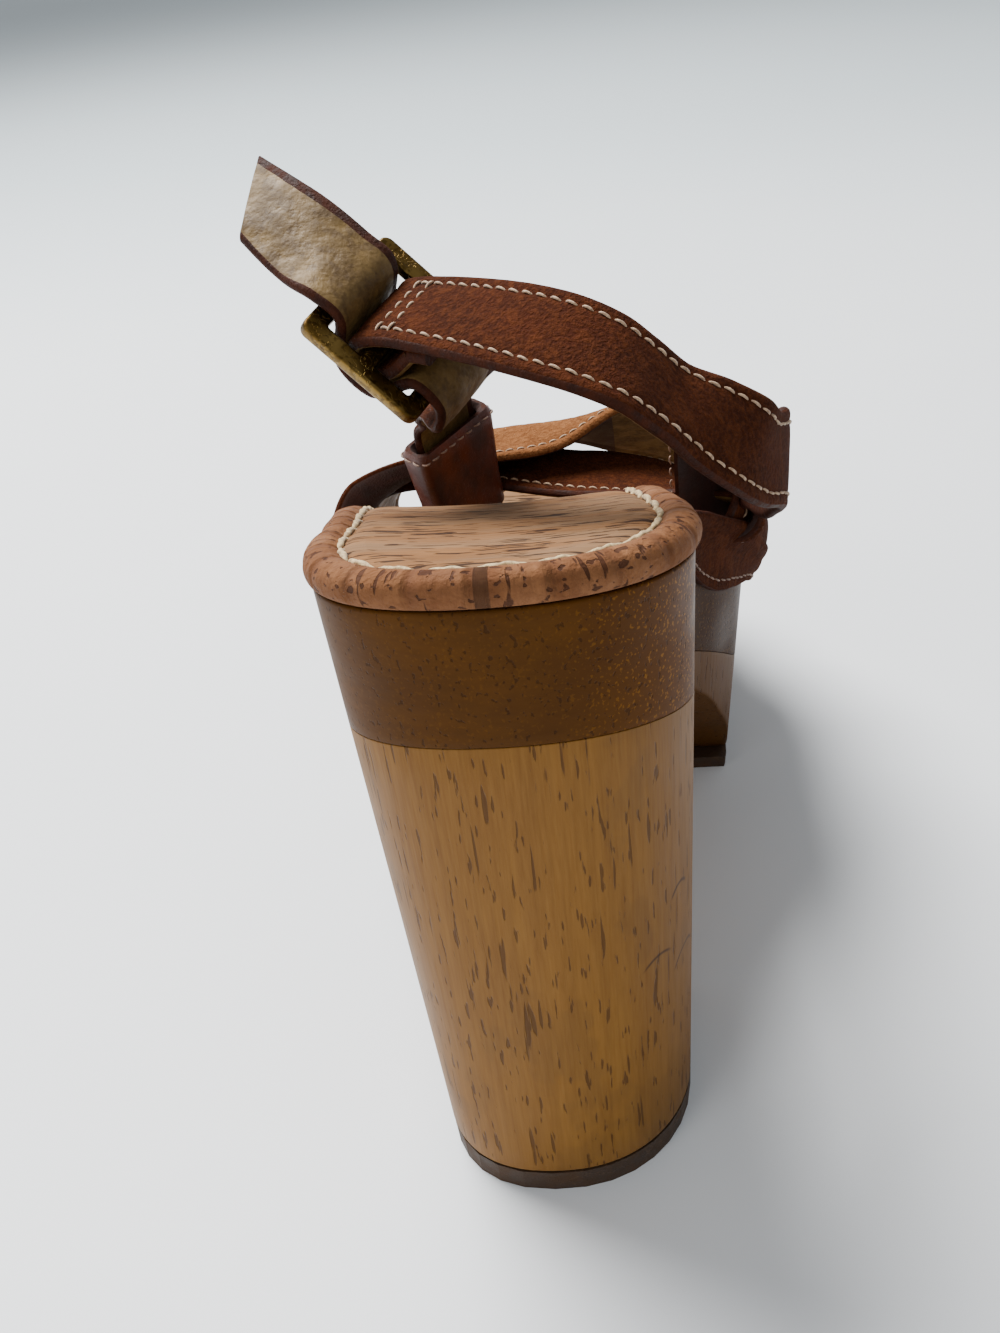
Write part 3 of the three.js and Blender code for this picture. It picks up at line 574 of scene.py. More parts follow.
def catmull_rom(points, at):
    """Point on the centripetal curve through points, at = 0 for the first, 1 for the last."""
    last = len(points) - 1
    place = last * at
    i = min(int(place), last - 1)
    t = place - i
    p1 = points[i]
    p2 = points[i + 1]
    p0 = points[i - 1] if i > 0 else p1 + (p1 - p2)
    p3 = points[i + 2] if i + 2 <= last else p2 + (p2 - p1)
    d1 = max((p2 - p1).length ** 0.5, 1e-4)
    d0 = (p1 - p0).length ** 0.5 or d1
    d2 = (p3 - p2).length ** 0.5 or d1
    t1 = ((p1 - p0) / d0 - (p2 - p0) / (d0 + d1) + (p2 - p1) / d1) * d1
    t2 = ((p2 - p1) / d1 - (p3 - p1) / (d1 + d2) + (p3 - p2) / d2) * d1
    return blend(p1, p2, t1, t2, t)


def widthway(turn, tilt):
    a = math.radians(turn)
    b = math.radians(tilt)
    return Vector((math.cos(b) * math.cos(a), math.cos(b) * math.sin(a), math.sin(b)))


def route_row(row):
    y = place_at(row["along"])
    at = Vector((row["out"] * SEAT_WIDTH / 2, y, cork_line(y) + ANKLE_RISE * row["up"]))
    return at, widthway(row["turn"], row["tilt"])


def sleeve_at(place, run_way):
    y = place_at(place["along"])
    at = Vector((place["out"] * BALL_WIDTH / 2, y, cork_line(y) + VAMP_RISE * place["up"]))
    across = widthway(place["turn"], place["tilt"])
    run = widthway(run_way["turn"], run_way["tilt"])
    run = (run - across * run.dot(across)).normalized()
    return {"at": at, "across": across, "run": run, "face": -across.cross(run)}


def through_sleeve(sleeve, stretch):
    shares = (stretch[0], (stretch[0] + stretch[1]) / 2, stretch[1])
    return [(sleeve["at"] + sleeve["run"] * SLEEVE_LENGTH * s, sleeve["across"]) for s in shares]


# Seams wander between these distances from a strap's edge
WANDER_FROM = 1.2
WANDER_TO = 3.8
WANDER = 0.22
WANDER_SIZE = 3.1
WANDER_SIDES = 9


def wander(at, distance, reach):
    """Small unevenness of a seam or a cut lining edge, none at the strap's own edge and middle."""
    if not WANDER_FROM < reach - abs(distance) < WANDER_TO:
        return 0.0
    return WANDER * noise.noise(at / WANDER_SIZE + Vector((0, 0, math.copysign(WANDER_SIDES, distance))))


def strap_skin(rows, distances, steps, ripple):
    """Rows of points across a strap that runs through (place, width direction) rows."""
    reach = abs(distances[0])
    centres = [at for at, _ in rows]
    turns = [across for _, across in rows]
    count = (len(rows) - 1) * steps
    grid = []
    for i in range(count + 1):
        centre = catmull_rom(centres, i / count)
        across = catmull_rom(turns, i / count).normalized()
        line = []
        for d in distances:
            at = centre + across * (d + wander(centre, d, reach))
            at += Vector(noise.noise_vector(at / RIPPLE_SIZE)) * ripple
            line.append(at)
        grid.append(line)
    return Skin(grid)


# Thread
class Thread:
    """Stitches gathered into one mesh."""

    def __init__(self):
        self.points = []
        self.faces = []

    def tube(self, path, normals, radius, sides, plies=0, twist=0.0):
        start = len(self.points)
        count = len(path)
        for k in range(count):
            along = (path[min(k + 1, count - 1)] - path[max(k - 1, 0)]).normalized()
            side = along.cross(normals[k]).normalized()
            up = side.cross(along)
            t = k / (count - 1)
            taper = 0.55 + 0.45 * math.sin(math.pi * t) ** 0.4
            for j in range(sides):
                turn = 2 * math.pi * j / sides
                ply = 1 + 0.16 * math.cos(plies * (turn - twist * k)) if plies else 1
                r = radius * taper * ply
                self.points.append(path[k] + side * r * math.cos(turn) + up * r * math.sin(turn))
        self.faces += loop_faces(count, sides, start)
        self.faces.append(tuple(start + j for j in reversed(range(sides))))
        self.faces.append(tuple(start + (count - 1) * sides + j for j in range(sides)))

    def piece(self, name, material):
        return new_piece(name, self.points, self.faces, [material], sharp=80)


def walk(path, normals):
    """Returns a function from a length along the path to its point, direction and normal."""
    lengths = lengths_along(path)

    def at(length):
        length = min(max(length, 0.0), lengths[-1] - 1e-6)
        low = 0
        high = len(lengths) - 1
        while high - low > 1:
            middle = (low + high) // 2
            if lengths[middle] <= length:
                low = middle
            else:
                high = middle
        t = (length - lengths[low]) / max(lengths[low + 1] - lengths[low], 1e-9)
        along = (path[low + 1] - path[low]).normalized()
        return path[low].lerp(path[low + 1], t), along, normals[low].lerp(normals[low + 1], t).normalized()

    return at, lengths[-1]


def sew(thread, path, normals, stitch):
    """Lays stitches end to end along a path on a surface."""
    at, total = walk(path, normals)
    count = max(1, round(total / stitch["pitch"]))
    pitch = total / count
    for i in range(count):
        length = pitch * stitch["share"] * DRAW.uniform(0.93, 1.05)
        first = pitch * i + (pitch - length) / 2
        line = []
        ups = []
        drift = DRAW.uniform(-1, 1) * stitch["drift"]
        for k in range(stitch["steps"] + 1):
            t = k / stitch["steps"]
            point, along, up = at(first + length * t)
            side = along.cross(up)
            lift = stitch["lift"] * math.sin(math.pi * t) ** 0.7 - stitch["sink"]
            sway = stitch["slant"] * (t - 0.5) + stitch["sway"] * math.sin(2 * math.pi * t) + drift
            line.append(point + up * lift + side * sway)
            ups.append(up)
        thread.tube(line, ups, stitch["radius"], stitch["sides"], stitch["plies"], stitch["twist"])


def sewn(name, material, slot, seams, stitch):
    """One mesh of thread for all the seams of a piece, each a path with its normals."""
    thread = Thread()
    for path, normals in seams:
        sew(thread, path, normals, stitch)
    dress(thread.piece(name, material), slot)


def seam_on(skin, columns, across, wall, first=0):
    """Path and normals on a sheet's face, at a distance across it from its middle."""
    column = min(range(len(columns)), key=lambda c: abs(columns[c] - across))
    rows = range(first, skin.last_row + 1)
    normals = [skin.normals[r][column] for r in rows]
    return [skin.rows[r][column] + skin.normals[r][column] * (wall / 2 - STITCH_BED) for r in rows], normals


STITCH_BED = 0.1
STRAP_STITCH = {"pitch": 2.75, "share": 0.74, "radius": 0.23, "lift": 0.34, "sink": 0.14, "slant": 0.25,
                "sway": 0.0, "drift": 0.07, "steps": 6, "sides": 6, "plies": 0, "twist": 0.0}
RIM_PITCH = 7.6
RIM_STITCH = {"pitch": RIM_PITCH, "share": 1.04, "radius": 0.5, "lift": 0.75, "sink": 0.28, "slant": 0.9,
              "sway": 0.22, "drift": 0.15, "steps": 18, "sides": 10, "plies": 2, "twist": 0.55}


# Shader nodes and the effects that the finishes share
def linear(red, green, blue):
    """A colour as seen on a screen, 0 to 255, turned into the linear values that nodes use."""
    def one(value):
        value /= 255
        return value / 12.92 if value <= 0.04045 else ((value + 0.055) / 1.055) ** 2.4
    return (one(red), one(green), one(blue), 1.0)


def node(tree, kind, inputs=None, **settings):
    made = tree.nodes.new("ShaderNode" + kind)
    for key, value in settings.items():
        setattr(made, key, value)
    for key, value in (inputs or {}).items():
        if isinstance(value, bpy.types.NodeSocket):
            tree.links.new(value, made.inputs[key])
        else:
            made.inputs[key].default_value = value
    return made


def mix(tree, share, first, second):
    return node(tree, "Mix", {0: share, 6: first, 7: second}, data_type="RGBA").outputs[2]


def ramp(tree, value, low, high, to_low=0.0, to_high=1.0):
    made = node(tree, "MapRange", {"Value": value, "From Min": low, "From Max": high,
                                   "To Min": to_low, "To Max": to_high}, interpolation_type="SMOOTHSTEP")
    return made.outputs["Result"]


def sums(tree, way, *values):
    return node(tree, "Math", dict(enumerate(values)), operation=way).outputs[0]


def new_group(name, inputs, output):
    """An empty node group with named inputs, each with its default, and one output."""
    tree = bpy.data.node_groups.new(name, "ShaderNodeTree")
    for label, value in inputs.items():
        kind = "Vector" if value is None else "Float"
        socket = tree.interface.new_socket(name=label, in_out="INPUT", socket_type="NodeSocket" + kind)
        if value is not None:
            socket.default_value = value
    tree.interface.new_socket(name=output, in_out="OUTPUT", socket_type="NodeSocketFloat")
    return tree, tree.nodes.new("NodeGroupInput").outputs, tree.nodes.new("NodeGroupOutput").inputs[0]


def stretched_noise(tree, given, **settings):
    scaled = {0: given["Position"], 1: given["Stretch"]}
    cells = node(tree, "VectorMath", scaled, operation="MULTIPLY").outputs[0]
    return node(tree, "TexNoise", {"Vector": cells, "Scale": 1.0, **settings}).outputs[0], cells


def dashes_group():
    """Short dark dashes or pores: long where the stretch is small, few where the threshold is high."""
    tree, given, out = new_group("dashes", {"Position": None, "Stretch": None, "Threshold": 0.62,
                                            "Softness": 0.06}, "Mask")
    speck, _ = stretched_noise(tree, given, Detail=2.0, Roughness=0.4)
    top = sums(tree, "ADD", given["Threshold"], given["Softness"])
    tree.links.new(ramp(tree, speck, given["Threshold"], top), out)
    return tree


def mottle_group():
    """Soft uneven patches between 0 and 1."""
    tree, given, out = new_group("mottle", {"Position": None, "Stretch": None, "Contrast": 0.2,
                                            "Detail": 4.0}, "Value")
    cloud, _ = stretched_noise(tree, given, Detail=given["Detail"], Roughness=0.55)
    low = sums(tree, "SUBTRACT", 0.5, given["Contrast"])
    high = sums(tree, "ADD", 0.5, given["Contrast"])
    tree.links.new(ramp(tree, cloud, low, high), out)
    return tree


def scuffs_group():
    """Thin crooked scratches that show only here and there."""
    tree, given, out = new_group("scuffs", {"Position": None, "Stretch": None, "Width": 0.012,
                                            "Amount": 0.6}, "Mask")
    lines, cells = stretched_noise(tree, given, Detail=1.0, Distortion=1.2)
    off = sums(tree, "ABSOLUTE", sums(tree, "SUBTRACT", lines, 0.5))
    thin = ramp(tree, off, given["Width"], 0.0)
    where = node(tree, "TexNoise", {"Vector": cells, "Scale": 0.37, "Detail": 2.0}).outputs[0]
    here = ramp(tree, where, given["Amount"], sums(tree, "ADD", given["Amount"], 0.06))
    tree.links.new(sums(tree, "MULTIPLY", thin, here), out)
    return tree


def knocks_group():
    """Short curved dent: part of a thin ring round a centre."""
    tree, given, out = new_group("knocks", {"Position": None, "Centre": None, "Radius": 0.004,
                                            "Width": 0.0005, "Reach": 0.3}, "Mask")
    ends = {0: given["Position"], 1: given["Centre"]}
    away = node(tree, "VectorMath", ends, operation="SUBTRACT").outputs[0]
    far = node(tree, "VectorMath", {0: away}, operation="LENGTH").outputs["Value"]
    off = sums(tree, "ABSOLUTE", sums(tree, "SUBTRACT", far, given["Radius"]))
    ring = ramp(tree, off, given["Width"], 0.0)
    low = sums(tree, "DIVIDE", node(tree, "SeparateXYZ", {0: away}).outputs["Z"], given["Radius"])
    part = ramp(tree, low, given["Reach"], sums(tree, "ADD", given["Reach"], 0.3))
    tree.links.new(sums(tree, "MULTIPLY", ring, part), out)
    return tree


DASHES = dashes_group()
MOTTLE = mottle_group()
SCUFFS = scuffs_group()
KNOCKS = knocks_group()


class Finish:
    """A material in the making, with its colour so far."""

    def __init__(self, name, roughness, metallic=0.0, specular=0.5):
        self.material = bpy.data.materials.new(name)
        self.material.use_nodes = True
        self.tree = self.material.node_tree
        self.shader = self.tree.nodes["Principled BSDF"]
        settings = {"Roughness": roughness, "Metallic": metallic, "Specular IOR Level": specular}
        for key, value in settings.items():
            self.shader.inputs[key].default_value = value
        self.at = node(self.tree, "TexCoord").outputs["Object"]
        self.base = None

    def placed(self, group, **inputs):
        return node(self.tree, "Group", inputs, node_tree=group).outputs[0]

    def mottle(self, stretch, contrast, over=None, detail=4.0):
        where = self.at if over is None else over
        return self.placed(MOTTLE, Position=where, Stretch=stretch, Contrast=contrast, Detail=detail)

    def even(self, size, contrast, detail=4.0):
        """Mottle with patches as long as they are wide."""
        return self.mottle((size, size, size), contrast, detail=detail)

    def dashes(self, stretch, threshold, softness, over=None):
        where = self.at if over is None else over
        return self.placed(DASHES, Position=where, Stretch=stretch, Threshold=threshold, Softness=softness)

    def scuffs(self, stretch, width, amount):
        return self.placed(SCUFFS, Position=self.at, Stretch=stretch, Width=width, Amount=amount)

    def times(self, first, second):
        return sums(self.tree, "MULTIPLY", first, second)

    def plus(self, first, second):
        return sums(self.tree, "ADD", first, second)

    def minus(self, first, second):
        return sums(self.tree, "SUBTRACT", first, second)

    def most(self, first, second):
        return sums(self.tree, "MAXIMUM", first, second)

    def ramp(self, value, low, high):
        return ramp(self.tree, value, low, high)

    def along(self, axis, vector=None):
        vector = self.at if vector is None else vector
        return node(self.tree, "SeparateXYZ", {0: vector}).outputs[axis]

    def colours(self, share, first, second):
        self.base = mix(self.tree, share, linear(*first), linear(*second))

    def tint(self, mask, amount, colour):
        self.base = mix(self.tree, self.times(mask, amount), self.base, linear(*colour))

    def rough(self, value, low, high):
        self.tree.links.new(ramp(self.tree, value, 0.0, 1.0, low, high), self.shader.inputs["Roughness"])

    def done(self, relief=None, depth=0.0):
        """The material with its colour and a relief of a depth in metres."""
        self.tree.links.new(self.base, self.shader.inputs["Base Color"])
        if relief is not None:
            made = node(self.tree, "Bump", {"Strength": 1.0, "Distance": depth, "Height": relief})
            self.tree.links.new(made.outputs[0], self.shader.inputs["Normal"])
        return self.material


# Finishes. Painted shade darkens the sole on its inner side and ahead of the heel: stretches of +X and +Y
INNER_SIDE_SHADE = (0.012, 0.034)
SHADE_AHEAD_OF_HEEL = (0.03, 0.075)

# Dents at the heel's inner back: centre, radius and how high up the ring the dent starts
HEEL_MARKS = table("at radius reach", [
    ((0.0186, -0.017, 0.047), 0.005, 0.5),
    ((0.0235, -0.010, 0.0416), 0.005, 0.35),
    ((0.0225, -0.012, 0.060), 0.0035, 0.2),
])


def pale_wood():
    wood = Finish("pale_wood", 0.55, specular=0.12)
    drift = wood.mottle((26, 26, 14), 0.24)
    streaks = wood.mottle((700, 700, 26), 0.26)
    wood.colours(drift, (112, 74, 26), (128, 88, 36))
    wood.tint(streaks, 0.45, (92, 57, 18))
    wood.tint(wood.mottle((2000, 2000, 120), 0.3), 0.3, (142, 104, 50))
    marks = wood.most(wood.dashes((1250, 1250, 170), 0.635, 0.05), wood.dashes((820, 820, 60), 0.67, 0.04))
    wood.tint(marks, 0.62, (52, 27, 8))
    grime = wood.mottle((60, 60, 38), 0.1)
    wood.tint(wood.ramp(grime, 0.72, 1.0), 0.14, (66, 48, 29))
    for mark in HEEL_MARKS:
        curve = wood.placed(KNOCKS, Position=wood.at, Centre=mark["at"], Radius=mark["radius"],
                            Width=0.0005, Reach=mark["reach"])
        wood.tint(curve, 0.8, (34, 18, 9))
    # Painted shade on the sole's inner side, deeper ahead of the heel
    inner = wood.ramp(wood.along("X"), *INNER_SIDE_SHADE)
    shade_ahead = wood.ramp(wood.along("Y"), *SHADE_AHEAD_OF_HEEL)
    wood.tint(inner, wood.plus(wood.times(shade_ahead, 0.42), 0.36), (62, 34, 8))
    wood.rough(drift, 0.46, 0.6)
    return wood.done(wood.minus(wood.times(streaks, 0.25), marks), 0.00012)


def brown_wood():
    wood = Finish("brown_wood", 0.5, specular=0.06)
    drift = wood.mottle((34, 34, 55), 0.22)
    streaks = wood.mottle((160, 160, 620), 0.3)
    wood.colours(drift, (65, 37, 5), (80, 48, 9))
    wood.tint(streaks, 0.3, (50, 27, 5))
    # Painted golden sheen on the inner side: a golden tint there and brighter specks; the faint specks
    # elsewhere are the wood's own flecks
    inner_sheen = wood.ramp(wood.along("X"), 0.006, 0.03)
    wood.tint(inner_sheen, 0.7, (78, 42, 0))
    specks = wood.dashes((1700, 1700, 1700), 0.58, 0.1)
    wood.tint(specks, wood.plus(wood.times(inner_sheen, 0.5), 0.06), (150, 98, 18))
    pores = wood.dashes((1300, 1300, 900), 0.63, 0.05)
    wood.tint(pores, 0.45, (30, 14, 3))
    wood.tint(wood.scuffs((220, 220, 120), 0.006, 0.6), 0.16, (118, 84, 48))
    # Painted shade on the band's inner side ahead of the heel
    inner = wood.ramp(wood.along("X"), *INNER_SIDE_SHADE)
    shade_ahead = wood.ramp(wood.along("Y"), *SHADE_AHEAD_OF_HEEL)
    wood.tint(wood.times(inner, shade_ahead), 0.7, (32, 14, 2))
    wood.rough(drift, 0.42, 0.56)
    return wood.done(wood.minus(wood.times(streaks, 0.3), pores), 0.00007)


def brown_rubber():
    rubber = Finish("brown_rubber", 0.7)
    drift = rubber.mottle((180, 180, 320), 0.25)
    rubber.colours(drift, (46, 27, 7), (64, 40, 14))
    rubber.tint(rubber.scuffs((160, 160, 400), 0.03, 0.5), 0.4, (88, 66, 42))
    rubber.rough(drift, 0.6, 0.82)
    return rubber.done(rubber.dashes((2600, 2600, 2600), 0.55, 0.2), 0.00006)


def cork_top():
    cork = Finish("cork_top", 0.85, specular=0.15)
    drift = cork.mottle((30, 75, 30), 0.2)
    layers = cork.mottle((60, 900, 900), 0.26)
    cork.colours(drift, (138, 97, 58), (116, 78, 46))
    cork.tint(layers, 0.5, (92, 58, 32))
    # Painted sheen: greyish patches on the cork's top
    cork.tint(cork.mottle((24, 160, 80), 0.14), 0.45, (116, 96, 74))
    marks = cork.most(cork.dashes((165, 1250, 1250), 0.605, 0.03), cork.dashes((85, 760, 760), 0.64, 0.025))
    cork.tint(marks, 0.88, (34, 16, 7))
    cork.rough(drift, 0.78, 0.9)
    return cork.done(cork.minus(cork.times(layers, 0.4), marks), 0.00028)


def cork_rim():
    """Cork strip round the rim, whose patches and pulled-in places keep the pace of the stitches; the
    pulled-in places are dented and darkened with painted shade.
    """
    cork = Finish("cork_rim", 0.85, specular=0.15)
    tree = cork.tree
    length = node(tree, "UVMap", uv_map="Length").outputs[0]
    count = sums(tree, "DIVIDE", cork.along("X", length), RIM_PITCH * MM)
    cell = sums(tree, "FLOOR", count)
    patch = node(tree, "TexWhiteNoise", {"W": cell}, noise_dimensions="1D").outputs["Value"]
    ends = sums(tree, "ABSOLUTE", cork.minus(sums(tree, "FRACT", count), 0.5))
    dent_and_shade = cork.times(cork.ramp(ends, 0.3, 0.5), cork.ramp(cork.along("Y", length), 0.002, 0.0075))
    drift = cork.even(150, 0.2)
    cork.colours(cork.mottle((85, 4, 1), 0.16, length, 1.0), (116, 74, 42), (142, 97, 62))
    cork.tint(patch, 0.45, (102, 64, 38))
    cork.tint(drift, 0.5, (100, 62, 36))
    lines = cork.mottle((1100, 60, 1), 0.3, length)
    cork.tint(lines, 0.4, (86, 50, 27))
    # Painted shade in the pulled-in places between the stitches
    cork.tint(dent_and_shade, 0.4, (78, 42, 21))
    flecks = cork.dashes((620, 620, 900), 0.64, 0.04)
    marks = cork.most(flecks, cork.dashes((900, 160, 1), 0.64, 0.04, length))
    cork.tint(marks, 0.8, (44, 20, 9))
    crust = cork.even(900, 0.14)
    cork.tint(crust, 0.25, (84, 48, 27))
    cork.rough(drift, 0.76, 0.9)
    relief = cork.minus(cork.minus(cork.times(lines, 0.3), marks), cork.times(dent_and_shade, 3.2))
    return cork.done(cork.plus(relief, cork.times(crust, 0.5)), 0.00022)


def suede(name, deep, mid, bright):
    leather = Finish(name, 0.95, specular=0.08)
    nap = leather.even(1300, 0.16)
    fibre = leather.even(2800, 0.25)
    leather.base = linear(*mid)
    leather.tint(leather.even(120, 0.2), 0.6, deep)
    leather.tint(nap, 0.4, bright)
    leather.tint(fibre, 0.45, deep)
    rubbed = leather.mottle((420, 420, 60), 0.12)
    leather.tint(leather.ramp(rubbed, 0.6, 1.0), 0.22, bright)
    return leather.done(leather.plus(nap, leather.times(fibre, 0.6)), 0.00018)


def gold_lining():
    lining = Finish("gold_lining", 0.6, 0.12, specular=0.25)
    patches = lining.even(150, 0.2)
    creases = lining.even(300, 0.3, 2.0)
    lining.colours(patches, (108, 84, 44), (74, 54, 24))
    lining.tint(lining.ramp(lining.even(380, 0.12), 0.55, 1.0), 0.45, (54, 34, 14))
    grain = lining.even(1500, 0.2)
    lining.tint(grain, 0.2, (132, 108, 66))
    lining.rough(creases, 0.5, 0.66)
    relief = lining.plus(creases, lining.times(patches, 2.0))
    return lining.done(lining.plus(relief, lining.times(grain, 0.4)), 0.00008)


def painted_edge():
    paint = Finish("painted_edge", 0.7, specular=0.12)
    drift = paint.even(420, 0.22)
    paint.colours(drift, (40, 16, 7), (62, 29, 15))
    paint.rough(drift, 0.6, 0.8)
    return paint.done(paint.even(1800, 0.3), 0.00012)


def smooth_leather():
    leather = Finish("orange_leather", 0.42)
    drift = leather.mottle((130, 130, 80), 0.22)
    leather.colours(drift, (98, 38, 8), (50, 17, 4))
    leather.rough(drift, 0.34, 0.52)
    return leather.done(leather.dashes((2400, 2400, 2400), 0.56, 0.16), -0.00006)


# Painted shade: a dark leather for the insides of the sleeve and the pouch, the flap's underside and part of
# the upper band's lining
def shade_leather():
    leather = Finish("shade_leather", 0.8)
    drift = leather.even(220, 0.22)
    leather.colours(drift, (38, 17, 11), (60, 30, 20))
    leather.rough(drift, 0.65, 0.85)
    return leather.done(leather.even(1800, 0.3), 0.0001)


def thread_finish(name, pale, dark):
    thread = Finish(name, 0.7)
    strands = thread.even(1800, 0.25)
    thread.colours(strands, pale, dark)
    thread.shader.inputs["Sheen Weight"].default_value = 0.2
    return thread.done(strands, 0.00005)


def worn_brass():
    brass = Finish("worn_brass", 0.3, 1.0)
    drift = brass.even(260, 0.2)
    brass.colours(drift, (120, 96, 50), (84, 62, 26))
    brass.tint(brass.ramp(brass.even(700, 0.1), 0.65, 1.0), 0.5, (44, 28, 10))
    brass.rough(drift, 0.28, 0.44)
    return brass.done(brass.scuffs((600, 600, 600), 0.03, 0.45), -0.00005)


def pale_floor():
    floor = Finish("pale_floor", 0.55)
    floor.colours(floor.mottle((3, 3, 3), 0.3), (225, 227, 228), (218, 220, 222))
    # Painted shade: the floor darkens and cools further behind the sandal
    floor.tint(floor.ramp(floor.along("Y"), 0.25, 1.1), 1.0, (188, 197, 200))
    return floor.done()


PALE_WOOD = pale_wood()
BROWN_WOOD = brown_wood()
RUBBER = brown_rubber()
CORK_TOP = cork_top()
CORK_RIM = cork_rim()
BROWN_SUEDE = suede("brown_suede", (36, 13, 4), (62, 26, 9), (96, 50, 22))
TAN_SUEDE = suede("tan_suede", (88, 50, 24), (122, 76, 42), (156, 106, 66))
GOLD_LINING = gold_lining()
PAINTED_EDGE = painted_edge()
SMOOTH_LEATHER = smooth_leather()
RIM_THREAD = thread_finish("rim_thread", (206, 180, 128), (140, 110, 70))
STRAP_THREAD = thread_finish("strap_thread", (188, 158, 126), (128, 98, 72))
PALE_THREAD = thread_finish("pale_thread", (150, 120, 100), (104, 78, 62))
SHADE_LEATHER = shade_leather()
BRASS = worn_brass()


# Sole pieces
def make_sole():
    wood = sole_piece("heel_and_platform", underside, lambda y: band_line(y) - GAP / 3, 0.7, 0.15,
                      PALE_WOOD)
    dress(wood, "pale_wood", "wood_platform")
    band = sole_piece("dark_band", band_line, lambda y: cork_line(y) - GAP, 0.15, 0.5, BROWN_WOOD)
    dress(band, "brown_wood", "midsole_band")


def keep_rubber():
    for name in ("heel_lift", "fore_outsole"):
        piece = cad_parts[name]
        for i in range(len(piece.material_slots)):
            piece.material_slots[i].material = RUBBER


# Cork footbed: profile of its rim from the wall inwards, in millimetres from the outline
RIM_PROFILE = table("inwards up", [
    (3.0, 0.02),
    (0.7, 0.03),
    (-0.1, 0.2),
    (-0.7, 0.9),
    (-0.95, 2.1),
    (-0.8, 3.3),
    (-0.2, 4.4),
    (0.9, 5.25),
    (2.3, 5.6),
    (3.5, 5.45),
    (4.5, 4.85),
    (5.2, 4.35),
    (5.9, 4.5),
    (7.0, 4.8),
    (9.0, 4.9),
])
RIM_LUMPS = ((8.0, 0.4), (2.2, 0.12))
TOP_LUMPS = (5.0, 0.12)
SEAM_INWARDS = 5.2
SEAM_UP = 4.35
PROFILE_STEPS = 3
TOP_COLUMNS = 26
SEAT_DISH = 0.8
RIM_JOINS = [0.008, 0.0355, 0.046, 0.058, 0.088, 0.17, 0.31, 0.44, 0.57, 0.68, 0.83, 0.935, 0.955, 0.972]
JOIN_DEPTHS = [0.25, 0.5, 0.2, 0.16, 0.3, 0.4, 0.4, 0.35, 0.4, 0.4, 0.45, 0.2, 0.35, 0.2]


def join_depth(share):
    depth = 0.0
    for at, deep in zip(RIM_JOINS, JOIN_DEPTHS):
        away = min(abs(share - at), 1 - abs(share - at)) * RING_LENGTH[-1]
        depth += deep * math.exp(-((away / 0.35) ** 2))
    return depth


def seam_path():
    path = []
    ups = []
    for i in list(range(RING_SIZE)) + [0]:
        at = RING[i] - RING_OUT[i] * SEAM_INWARDS
        path.append(Vector((at.x, at.y, cork_line(at.y) + SEAM_UP)))
        ups.append(Vector((RING_OUT[i].x * 0.1, RING_OUT[i].y * 0.1, 1)).normalized())
    return path, ups


def footbed_top(points, uvs, last):
    """Rows across the footbed from rim to rim; adds their points and returns the faces between them."""
    rise = RIM_PROFILE[-1]["up"]
    faces = []
    before = [last] * (TOP_COLUMNS + 1)
    for i in range(1, TOE):
        a = points[last + i]
        b = points[last + RING_SIZE - i]
        now = [last + i]
        for c in range(1, TOP_COLUMNS):
            t = c / TOP_COLUMNS
            y = a.y + (b.y - a.y) * t
            dip = SEAT_DISH * 4 * t * (1 - t)
            at = Vector((a.x + (b.x - a.x) * t, y, cork_line(y) + rise - dip))
            at.z += noise.noise(at / TOP_LUMPS[0]) * TOP_LUMPS[1]
            now.append(len(points))
            points.append(at)
            uvs.append((at.x * MM, at.y * MM))
        now.append(last + RING_SIZE - i)
        faces += [(before[c], now[c], now[c + 1], before[c + 1]) for c in range(TOP_COLUMNS)]
        before = now
    faces += [(before[c], last + TOE, before[c + 1]) for c in range(TOP_COLUMNS)]
    return [tuple(dict.fromkeys(face)) for face in faces]


def make_footbed():
    knots = [Vector((row["inwards"], row["up"], 0)) for row in RIM_PROFILE]
    count = (len(knots) - 1) * PROFILE_STEPS
    profile = [catmull_rom(knots, k / count) for k in range(count + 1)]
    run = lengths_along(profile)
    shares = [RING_LENGTH[i] / RING_LENGTH[-1] for i in range(RING_SIZE)]
    path, ups = seam_path()
    along = lengths_along(path)
    rings = []
    uvs = []
    for k, spot in enumerate(profile):
        ring = []
        lump_share = math.sin(math.pi * min(max((k - 2) / (count - 4), 0), 1))
        for i in range(RING_SIZE):
            at = RING[i] - RING_OUT[i] * spot.x
            base = Vector((at.x, at.y, cork_line(at.y) + spot.y))
            lump = sum(noise.noise(base / size) * height for size, height in RIM_LUMPS)
            inwards = join_depth(shares[i]) - lump
            out = Vector((RING_OUT[i].x, RING_OUT[i].y, 0.35))
            ring.append(base - out * inwards * lump_share)
            uvs.append((along[i] * MM, run[k] * MM))
        rings.append(ring)
    points, faces = ring_skin(rings)
    kinds = [0 if profile[k].x < SEAM_INWARDS else 1 for k in range(count) for _ in range(RING_SIZE)]
    top = footbed_top(points, uvs, count * RING_SIZE)
    bottom = across_cap(0, False)
    faces += top + bottom
    kinds += [1] * len(top) + [0] * len(bottom)
    bed = new_piece("footbed", points, faces, [CORK_RIM, CORK_TOP], kinds, uvs, 60)
    dress(bed, "cork", "cork_footbed")

    sewn("rim_stitches", RIM_THREAD, "cork", [(path, ups)], RIM_STITCH)


